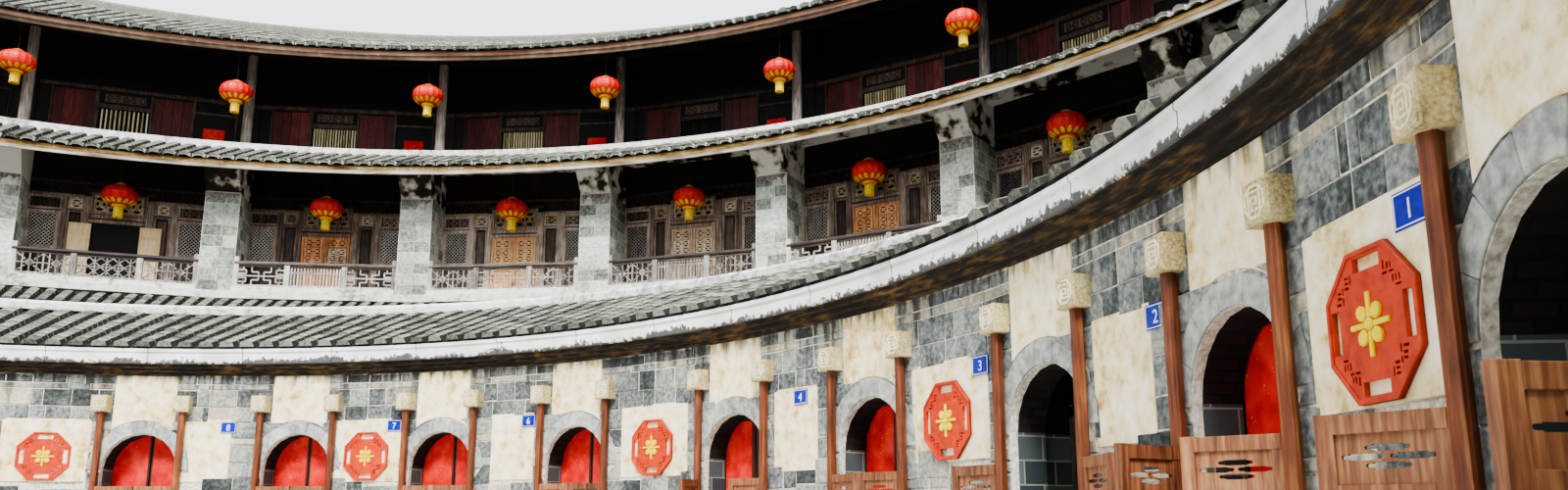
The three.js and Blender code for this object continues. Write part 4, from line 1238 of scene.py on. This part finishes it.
over_door, over_narrow = scrolls(430, 350, 4, 1), scrolls(105, 180, 1, 1)
over_window = scrolls(225, 190, 3, 1)
leaf_band, leaf_field = scrolls(175, 150, 2, 1), scrolls(175, 420, 2, 3)
joinery = Heap()
for bay in range(BAYS):
    on_screen = face_place(bay, SCREEN_FACE)
    board = partial(plank, joinery, on_screen)
    frame = partial(framed, joinery, on_screen)

    def carved(panel, x, z, out, tone, finish):
        wide, tall = max(u for u, v, y in panel[0]), max(v for u, v, y in panel[0])
        # Painted shade: a black board behind each carving's holes.
        board(x - wide, x + wide, z - tall, z + tall, 3, 9, 1, 0, 2)
        joinery.solid([on_screen(x + u, out + y, z + v) for u, v, y in panel[0]], panel[1], tone, finish)

    open_bay = bay == 11
    age = rng.uniform(0.2, 0.8)
    leaf_finish = {11: 1, 8: 6, 6: 1}.get(bay, 3 if bay in (10, 9, 7) or bay % 3 else 6)
    # Painted shade: a black strip under the eave, above the screen.
    board(-1880, 1880, 7470, 8040, 2, 26, 6, age, 2)
    for x, half in ((-1670, 26), (-1016, 46), (-641, 46), (455, 70), (893, 60), (1560, 46)):
        board(x - half, x + half, GALLERY_FLOOR, 7200, 2, 56, 6, age + rng.uniform(-0.3, 0.3), 1)
    rails = ((-1700, -690, 7165, 7215, 64), (525, 1700, 7165, 7215, 64), (-690, 525, 7300, 7350, 70),
             (-595, 385, 6675, 6745, 60), (-595, 385, 6770, 6840, 50), (-1880, 1880, 7440, 7490, 60))
    # Painted shade: the rails from 7300 up take the darker smoked finish and the lower ones the worn
    # frame.
    for x0, x1, z0, z1, out in rails:
        board(x0, x1, z0, z1, 2, out, 6, age, 1 if z0 < 7300 else 0)
    # Painted shade: the zigzag frieze takes the darker smoked finish.
    for number in range(42):
        x, up = -1700 + number * 80, number % 8 < 4
        if not -690 < x < 470:
            bar(joinery, on_screen, (x, 7225 if up else 7430), (x + 150, 7430 if up else 7225), 18, 4,
                26, age, 0)
    carved(over_door, SCREEN_MIDDLE, 7065, 24, rng.random(), 5)
    frame(-595, 385, 6850, 7290, 50, 4, 44, age, 1)
    for middle, half in ((-829, 138), (680, 150)):
        frame(middle - half, middle + half, 6915, 7165, 34, 4, 48, age + 0.2, 1)
        carved(over_narrow, middle, 7040, 24, rng.random(), 5)
        frame(middle - half, middle + half, 5420, 6900, 40, 4, 34, age, 1)
        worn = age + rng.uniform(-0.1, 0.4)
        board(middle - half + 60, middle + half - 60, 5500, 6820, 4, 24, 12, worn, 0)
    for middle in (-1350, 1232):
        frame(middle - 288, middle + 288, 6880, 7160, 40, 4, 48, age + 0.2, 1)
        carved(over_window, middle, 7020, 24, rng.random(), 1)
        # Painted shade: a black board behind each lattice window.
        board(middle - 300, middle + 300, 6070, 7160, -90, -72, 4, 0, 2)
        frame(middle - 288, middle + 288, 6080, 6860, 66, 4, 50, age + 0.2, 1)
        board(middle - 280, middle + 280, 5420, 6070, 4, 26, 8, age, 0)
    for side in (-1, 1):
        if open_bay:
            hinge = SCREEN_MIDDLE + side * 610
            board(hinge - 190, hinge + 190, 5400, 6640, 60, 86, 5, 0.5, 4)
            for z0, z1 in ((6440, 6575), (5480, 6380)):
                board(hinge - 145, hinge + 145, z0, z1, 84, 94, 6, 0.9, 4)
            continue
        x0, x1 = sorted((SCREEN_MIDDLE + side * 5, SCREEN_MIDDLE + side * 478))
        middle = (x0 + x1) / 2
        frame(x0, x1, 5340, 6670, 52, 6, 44, age, leaf_finish)
        carved(leaf_band, middle, 6545, 30, age + 0.2, leaf_finish)
        carved(leaf_field, middle, 6215, 30, age + 0.2,
               5 if (bay, side) in ((10, 1), (8, -1), (8, 1)) else leaf_finish)
        for z0, z1 in ((6432, 6466), (5964, 6000)):
            board(x0 + 50, x1 - 50, z0, z1, 8, 42, 5, age, leaf_finish)
        board(x0 + 66, x1 - 66, 5400, 5955, 6, 34, 12, age + 0.1, leaf_finish)
    if open_bay:
        # Painted shade: a black board fills the open doorway.
        board(-590, 380, 5340, 6672, 4, 16, 2, 0, 2)
joinery.make("gallery_front_joinery", [SMOKED_SHADED_FIR, WORN_FRAME, SHADE_BLACK_FIR, CARVED_DOOR, PALE_SHUTTER,
                                       OLD_GILDING, DRY_DOOR], slot="dark_timber")


LATTICE_FOOT, LATTICE_HEAD, LATTICE_PITCH = 6144, 6796, 72
SLAT_HALF, SLAT_DEEP = 8, 12


def lattice(x0, x1):
    """Slats crossed on the diagonal between two frames, in (outward, along, up)."""
    points, faces = [], []
    tall = LATTICE_HEAD - LATTICE_FOOT
    for rise in (1, -1):
        offset = x0 - tall + LATTICE_PITCH / 2
        while offset < x1:
            low, high = max(x0, offset), min(x1, offset + tall)
            start, end = low - offset, high - offset
            if rise < 0:
                start, end = tall - start, tall - end
            first = len(points)
            near = 0 if rise > 0 else -SLAT_DEEP
            for x, z in ((low, start), (high, end)):
                points += [(out, x, LATTICE_FOOT + z + edge) for out in (near, near - SLAT_DEEP)
                           for edge in (-SLAT_HALF, SLAT_HALF)]
            faces += [tuple(first + i for i in face) for face in
                      ((0, 1, 3, 2), (4, 6, 7, 5), (0, 4, 5, 1), (1, 5, 7, 3), (3, 7, 6, 2),
                       (2, 6, 4, 0))]
            offset += LATTICE_PITCH
    return points, faces


def every_bay(name, parts, radius, seed, material):
    """One bay's shapes, in (outward, along, up), repeated for all the bays."""
    points, faces = [], []
    for more, sides in parts:
        faces += [tuple(i + len(points) for i in face) for face in sides]
        points += more
    tile_rows(name, (points, faces), BAYS, 1, (radius, 0), (radius + 0.001, 0), seed, material,
              0.0)


every_bay("gallery_window_lattice", [lattice(-1450, -1014), lattice(1132, 1568)], SCREEN_FACE - 6, 11,
          GREY_POST)

# Top storey: round worn posts carry the eave's beam, and behind them stands a low wall of boards:
# in each bay a maroon panel, a barred window, another maroon panel and a dark door, black above; the
# black is painted shade.
TOP_FACE, TOP_FLOOR, TOP_HEADER, POST_LINE = 18650.0, 8405.0, 9890.0, 17766.0
WORN_POST = grained("worn grey posts", "20 2a2420  40 594f48  56 877b71  80 b8ada2", 0.8)
MAROON = grained("old maroon boards", "20 1d0b0a  42 451614  60 642320  85 8a453c", 0.7, tone=0.4)
PALE_BARS = grained("pale window bars", "20 84724c  42 c9b784  58 e6d9ae  80 f8f0d4", 0.7, tone=0.4)
DOOR_PAPER = aged("red door paper", "20 a3150f  45 d9211a  60 ea3527  85 f06a50", 60, 1, 0.8)
# Painted shade: the top storey's screen is black as the shadow under the high eave.
dress("top_screen", SHADE_BLACK_FIR)
posts = Heap()
for number in range(BAYS):
    at_post = face_place(number + 0.5, POST_LINE, outward=1)
    tube(posts, at_post, (0, 0), [(112, 8402), (104, 8460), (98, 9300), (95, 10700)], 16, rng.random())
# Painted shade: the eave beam is black.
sweep(posts, [(17556, 10700), (17756, 10700), (17756, 11075), (17556, 10975)], finish=1)
posts.make("top_storey_posts", [WORN_POST, SHADE_BLACK_FIR], slot="dark_timber", nodes=["top_posts"])
window_carving, door_carving = scrolls(380, 170, 5, 1), scrolls(330, 150, 4, 1)
top_boards = Heap()
for bay in range(BAYS):
    on_top = face_place(bay, TOP_FACE)
    board = partial(plank, top_boards, on_top)
    age = rng.uniform(0.2, 0.8)
    bars = 5 if bay in (8, 5, 1, 15, 22) else 3
    for x0, x1 in ((-2080, -1870), (1650, 1850), (1860, 2080)):
        board(x0, x1, TOP_FLOOR, TOP_HEADER, 2, 14, 5, rng.random(), 5)
    for start, end in ((-1830, -1066), (14, 760)):
        edges = [start + (end - start) * k / 4 for k in range(5)]
        for x0, x1 in zip(edges, edges[1:]):
            board(x0 + 2, x1 - 2, TOP_FLOOR, TOP_HEADER - 40, 2, 18, 4, age + rng.uniform(-0.3, 0.3), 1)
    for x, half in ((-1850, 20), (-1028, 36), (-10, 22), (790, 30), (1632, 18)):
        board(x - half, x + half, TOP_FLOOR, TOP_HEADER, 2, 40, 5, age, 2)
    board(-2090, 2090, TOP_HEADER, TOP_HEADER + 90, 2, 46, 6, age, 2)
    board(-992, -32, 9505, 9600, 2, 34, 5, age, 2)
    board(820, 1612, 9600, 9660, 2, 40, 5, age, 2)
    board(820, 1612, TOP_FLOOR, 9600, 2, 10, 5, 0.1, 5)
    for panel, x, z, tone in ((window_carving, -512, 9740, 0.9), (door_carving, 1216, 9775, 0.4)):
        top_boards.solid([on_top(x + u, 16 + y, z + v) for u, v, y in panel[0]], panel[1], tone,
                         2 if z < 9750 else 5)
    count = 11 if bay == 11 else 16
    for number in range(count):
        x = -976 + 930 * (number + 0.5) / count
        board(x - 15, x + 15, 8740, 9510, -40, -14, 5, rng.random(), bars)
    # Painted shade: a black board behind the window bars.
    board(-1020, 0, 8720, 9530, -110, -90, 4, 0.1, 5)
    if bay != 2:
        board(1000, 1420, 8900, 9300, 10, 13, 1, rng.random(), 4)
top_boards.make("top_front_joinery", [SMOKED_SHADED_FIR, MAROON, SMOKED_SHADED_FIR, PALE_BARS, DOOR_PAPER, SHADE_BLACK_FIR],
                slot="maroon_timber")

# Lanterns: silk over ribs, a squashed red globe hung at each bay and each top post, with gilt
# collars, a yellow scalloped hem and a yellow tassel; each hangs from an iron hook.
GLOBE_REACH, GLOBE_RISE, GLOBE_PARTS, GLOBE_RINGS = 322, 205, 32, 9
SILK = aged("red lantern silk", "20 a80f08  45 d81f12  62 e63420  85 f0563a", 160, 1, 0.5)
GILT = aged("yellow lantern trim", "20 a87b0c  45 e8b81a  62 f7d53a  85 ffea7a", 40, 1, 0.5)
HOOK_IRON = aged("rusty iron hook", "30 14100e  60 3a2c24  80 5c4638", 20, 1, 0.7)


def lantern(heap, bay, x, y, z, hook):
    """One lantern about its globe's middle, its hook's top at the given height."""
    def about(u, v, w):
        return in_bay(bay, x + u, y + v, z + w)

    rings = []
    for level in range(GLOBE_RINGS + 1):
        turn = math.pi * (0.1 + 0.8 * level / GLOBE_RINGS)
        for i in range(GLOBE_PARTS):
            ribbed = 1.0 if i % 2 else 0.965
            a = 2 * math.pi * i / GLOBE_PARTS
            reach = GLOBE_REACH * math.sin(turn) ** 0.72 * ribbed
            rings.append(about(reach * math.cos(a), reach * math.sin(a), -GLOBE_RISE * math.cos(turn)))
    heap.solid(rings, stacked(GLOBE_PARTS, GLOBE_RINGS + 1), 0.5, 0)
    for i in range(14):
        middle = 2 * math.pi * i / 14
        scallop = []
        for out in (2, 7):
            for drop, spread in ((-0.88, 0.12), (-0.76, 0.15), (-0.62, 0.1), (-0.5, 0.0)):
                for sign in ((-1, 1) if spread else (1,)):
                    a = middle + sign * spread
                    reach = GLOBE_REACH * (1 - drop * drop) ** 0.36 + out
                    scallop.append(about(reach * math.cos(a), reach * math.sin(a), GLOBE_RISE * drop))
        sides = [(0, 1, 3, 2), (2, 3, 5, 4), (4, 5, 6)]
        whole = sides + [tuple(7 + k for k in reversed(face)) for face in sides]
        rim = (0, 2, 4, 6, 5, 3, 1)
        whole += [(rim[k], rim[(k + 1) % 7], 7 + rim[(k + 1) % 7], 7 + rim[k]) for k in range(7)]
        heap.solid(scallop, whole, rng.random(), 1)
    for low, high, wide, end in ((-236, -190, 118, 130), (190, 232, 118, 96), (232, 262, 60, 34)):
        tube(heap, about, (0, 0), [(wide, low), (end, (low + high) / 2),
                                   (wide if low < 0 else end, high)], 20, 0.5, 1)
    tube(heap, about, (0, 0), [(74, -215), (74, -260), (78, -300), (80, -440)], 18, 0.7, 1)
    for i in range(10):
        a = 2 * math.pi * i / 10
        tube(heap, about, (74 * math.cos(a), 74 * math.sin(a)), [(12, -452), (12, -250)], 5,
             rng.random(), 1)
    tube(heap, about, (0, 0), [(11, 258), (9, hook - z)], 8, 0.5, 2)


GALLERY_LANTERN = (0, 16880, 7150, 8150)
TOP_HEIGHTS = {11: 9720, 10: 9650, 9: 9777, 8: 9815, 7: 9665}
lanterns = Heap()
for bay in range(BAYS):
    lantern(lanterns, bay, *GALLERY_LANTERN)
    lantern(lanterns, bay + 0.5, -120, 17200, TOP_HEIGHTS.get(bay, 9710), 10780)
lanterns.make("lanterns", [SILK, GILT, HOOK_IRON], slot="red_door")


def coursed(material, radius, count, row, joint, shades, lines):
    """Lays an aged material in courses round the ring, each block its own shade, with its joints."""
    tree = material.node_tree
    base = socket_of(material, "Base Color")
    parts = split(tree, around(tree, own_place(tree), radius))
    laid = add(tree, "ShaderNodeCombineXYZ", {0: parts["X"], 1: parts["Z"]}).outputs[0]
    blocks = brickwork(tree, laid, shades, shades[1], joint, 2 * math.pi * radius / count, row, 0.4, 0.0)
    toned = blend(tree, 1.0, base.links[0].from_socket, blocks["Color"], "MULTIPLY")
    tree.links.new(blend(tree, blocks["Fac"], toned, colour(lines)), base)
    return material


# Front wall behind the light-well and back wall of the inner ring: grey brick in lime, with plank
# doors' frames below and barred windows above; both are in shade and damp at the foot.
FRONT_FACE, BACK_FACE = 16480.0, 12550.0
GREY_BRICK = "20 5b5d58  40 878983  55 a3a49c  80 c3c2b8"
front_brick = aged("grey brick of the front wall", GREY_BRICK, 60, 3, 0.9,
                   streak=("3a392f", 5100, 4300, 0.6))
back_brick = aged("grey brick of the back wall", GREY_BRICK, 60, 3, 0.9,
                  streak=("3a392f", 3000, 2300, 0.6))
dress("lower_front_wall", coursed(front_brick, FRONT_FACE, 414, 78, 5, ("8f8f8f", "ffffff"), "d9d7cb"))
dress("inner_back_wall", coursed(back_brick, BACK_FACE, 315, 78, 5, ("8f8f8f", "ffffff"), "d9d7cb"))
shade_joinery = Heap()
for bay in range(BAYS):
    on_front, on_back = face_place(bay, FRONT_FACE), face_place(bay, BACK_FACE, -1, 1)
    tone = rng.random()
    doorways = [(on_front, 400, 496, 2100, 2194, -40)] if bay else []
    for place, near, far, under, head, proud in doorways + [(on_back, 360, 446, 2005, 2094, -60)]:
        for x0, x1, z0 in ((-far, -near, 4), (near, far, 4), (-near, near, under)):
            plank(shade_joinery, place, x0, x1, z0, head, -160, proud, 5, tone)
    framed(shade_joinery, on_front, -396, 396, 3604, 4596, 60, -120, -30, rng.random(), 0)
    for number in range(8):
        x = -300 + number * 600 / 7
        plank(shade_joinery, on_front, x - 16, x + 16, 3660, 4540, -95, -60, 3, rng.random(), 1)
    plank(shade_joinery, on_front, -340, 340, 4085, 4115, -100, -55, 3, tone, 0)
shade_joinery.make("shaded_frames_and_bars", [SMOKED_SHADED_FIR, WORN_FRAME], slot="dark_timber")

# Outer wall: ochre clay with gravel, rammed in lifts between boards; the lifts' edges have opened,
# rain from the eave has streaked it grey, and small barred windows sit deep in the two top storeys.
RAMMED_EARTH = aged("rammed ochre earth", "16 6d5232  36 99784d  52 b3915f  68 c4a676  90 d8c194", 110,
                    9, 0.95, patch=0.4, streak=("4f4636", 11300, 8600, 0.75))
coursed(RAMMED_EARTH, 22000, 72, 430, 8, ("b9a88f", "ffffff"), "7d6440")
for node in ("outer_wall_gate_side", "outer_wall_right", "outer_wall_left"):
    dress(node, RAMMED_EARTH)
windows = Heap()
for bay in range(BAYS):
    for sill, face in ((6600, 21800), (9400, 21700)):
        on_field = face_place(bay, face, -1, 1)
        framed(windows, on_field, -296, 296, sill + 4, sill + 796, 55, -110, 0, rng.random(), 0)
        for number in range(5):
            x = -190 + number * 95
            plank(windows, on_field, x - 17, x + 17, sill + 60, sill + 740, -75, -40, 3, rng.random(), 0)
windows.make("outer_window_bars", [WORN_FRAME], slot="dark_timber")


def cobbled():
    """River cobbles bedded in lime mortar, and the dressed granite round the gateway."""
    material = aged("river cobbles and gate granite", "20 55564f  40 8b8a7f  55 aaa798  80 cbc6b4", 90,
                    5, 0.9, streak=("3b3b32", 1500, 300, 0.4))
    tree = material.node_tree
    colours, normal = socket_of(material, "Base Color"), socket_of(material, "Normal")
    granite, fine = colours.links[0].from_socket, normal.links[0].from_socket
    place = own_place(tree)
    cobble = {"Vector": place, "Scale": per(330)}
    cells = add(tree, "ShaderNodeTexVoronoi", cobble).outputs["Color"]
    edge = add(tree, "ShaderNodeTexVoronoi", cobble, feature="DISTANCE_TO_EDGE").outputs["Distance"]
    shade = ramp(tree, add(tree, "ShaderNodeSeparateColor", {0: cells}).outputs[0],
                 "0 6f7a7c  30 9a9284  55 b7a183  80 8f8f86  100 d8d2c2")
    lit = blend(tree, 0.35, blend(tree, 1.0, granite, shade, "MULTIPLY"), shade)
    laid = blend(tree, remap(tree, edge, 0.02, 0.07, 1.0, 0.0), lit, colour("c9c3b1"))
    parts = split(tree, place)
    near = calc(tree, "LESS_THAN", calc(tree, "ABSOLUTE", parts["X"]), 1212 * REAL)
    gate = calc(tree, "MULTIPLY", near, calc(tree, "LESS_THAN", parts["Y"], -15000 * REAL))
    tree.links.new(blend(tree, gate, laid, granite), colours)
    rounded = remap(tree, edge, 0.0, 0.25, 0.0, 1.0)
    height = calc(tree, "MULTIPLY", rounded, calc(tree, "SUBTRACT", 1.0, gate))
    bump = add(tree, "ShaderNodeBump", {"Height": height, "Distance": 30 * REAL, "Strength": 0.9,
                                        "Normal": fine})
    tree.links.new(bump.outputs["Normal"], normal)
    return material


# Plinth: river cobbles to a man's height under the earth, with dressed granite round the gateway.
dress("outer_plinth", cobbled())
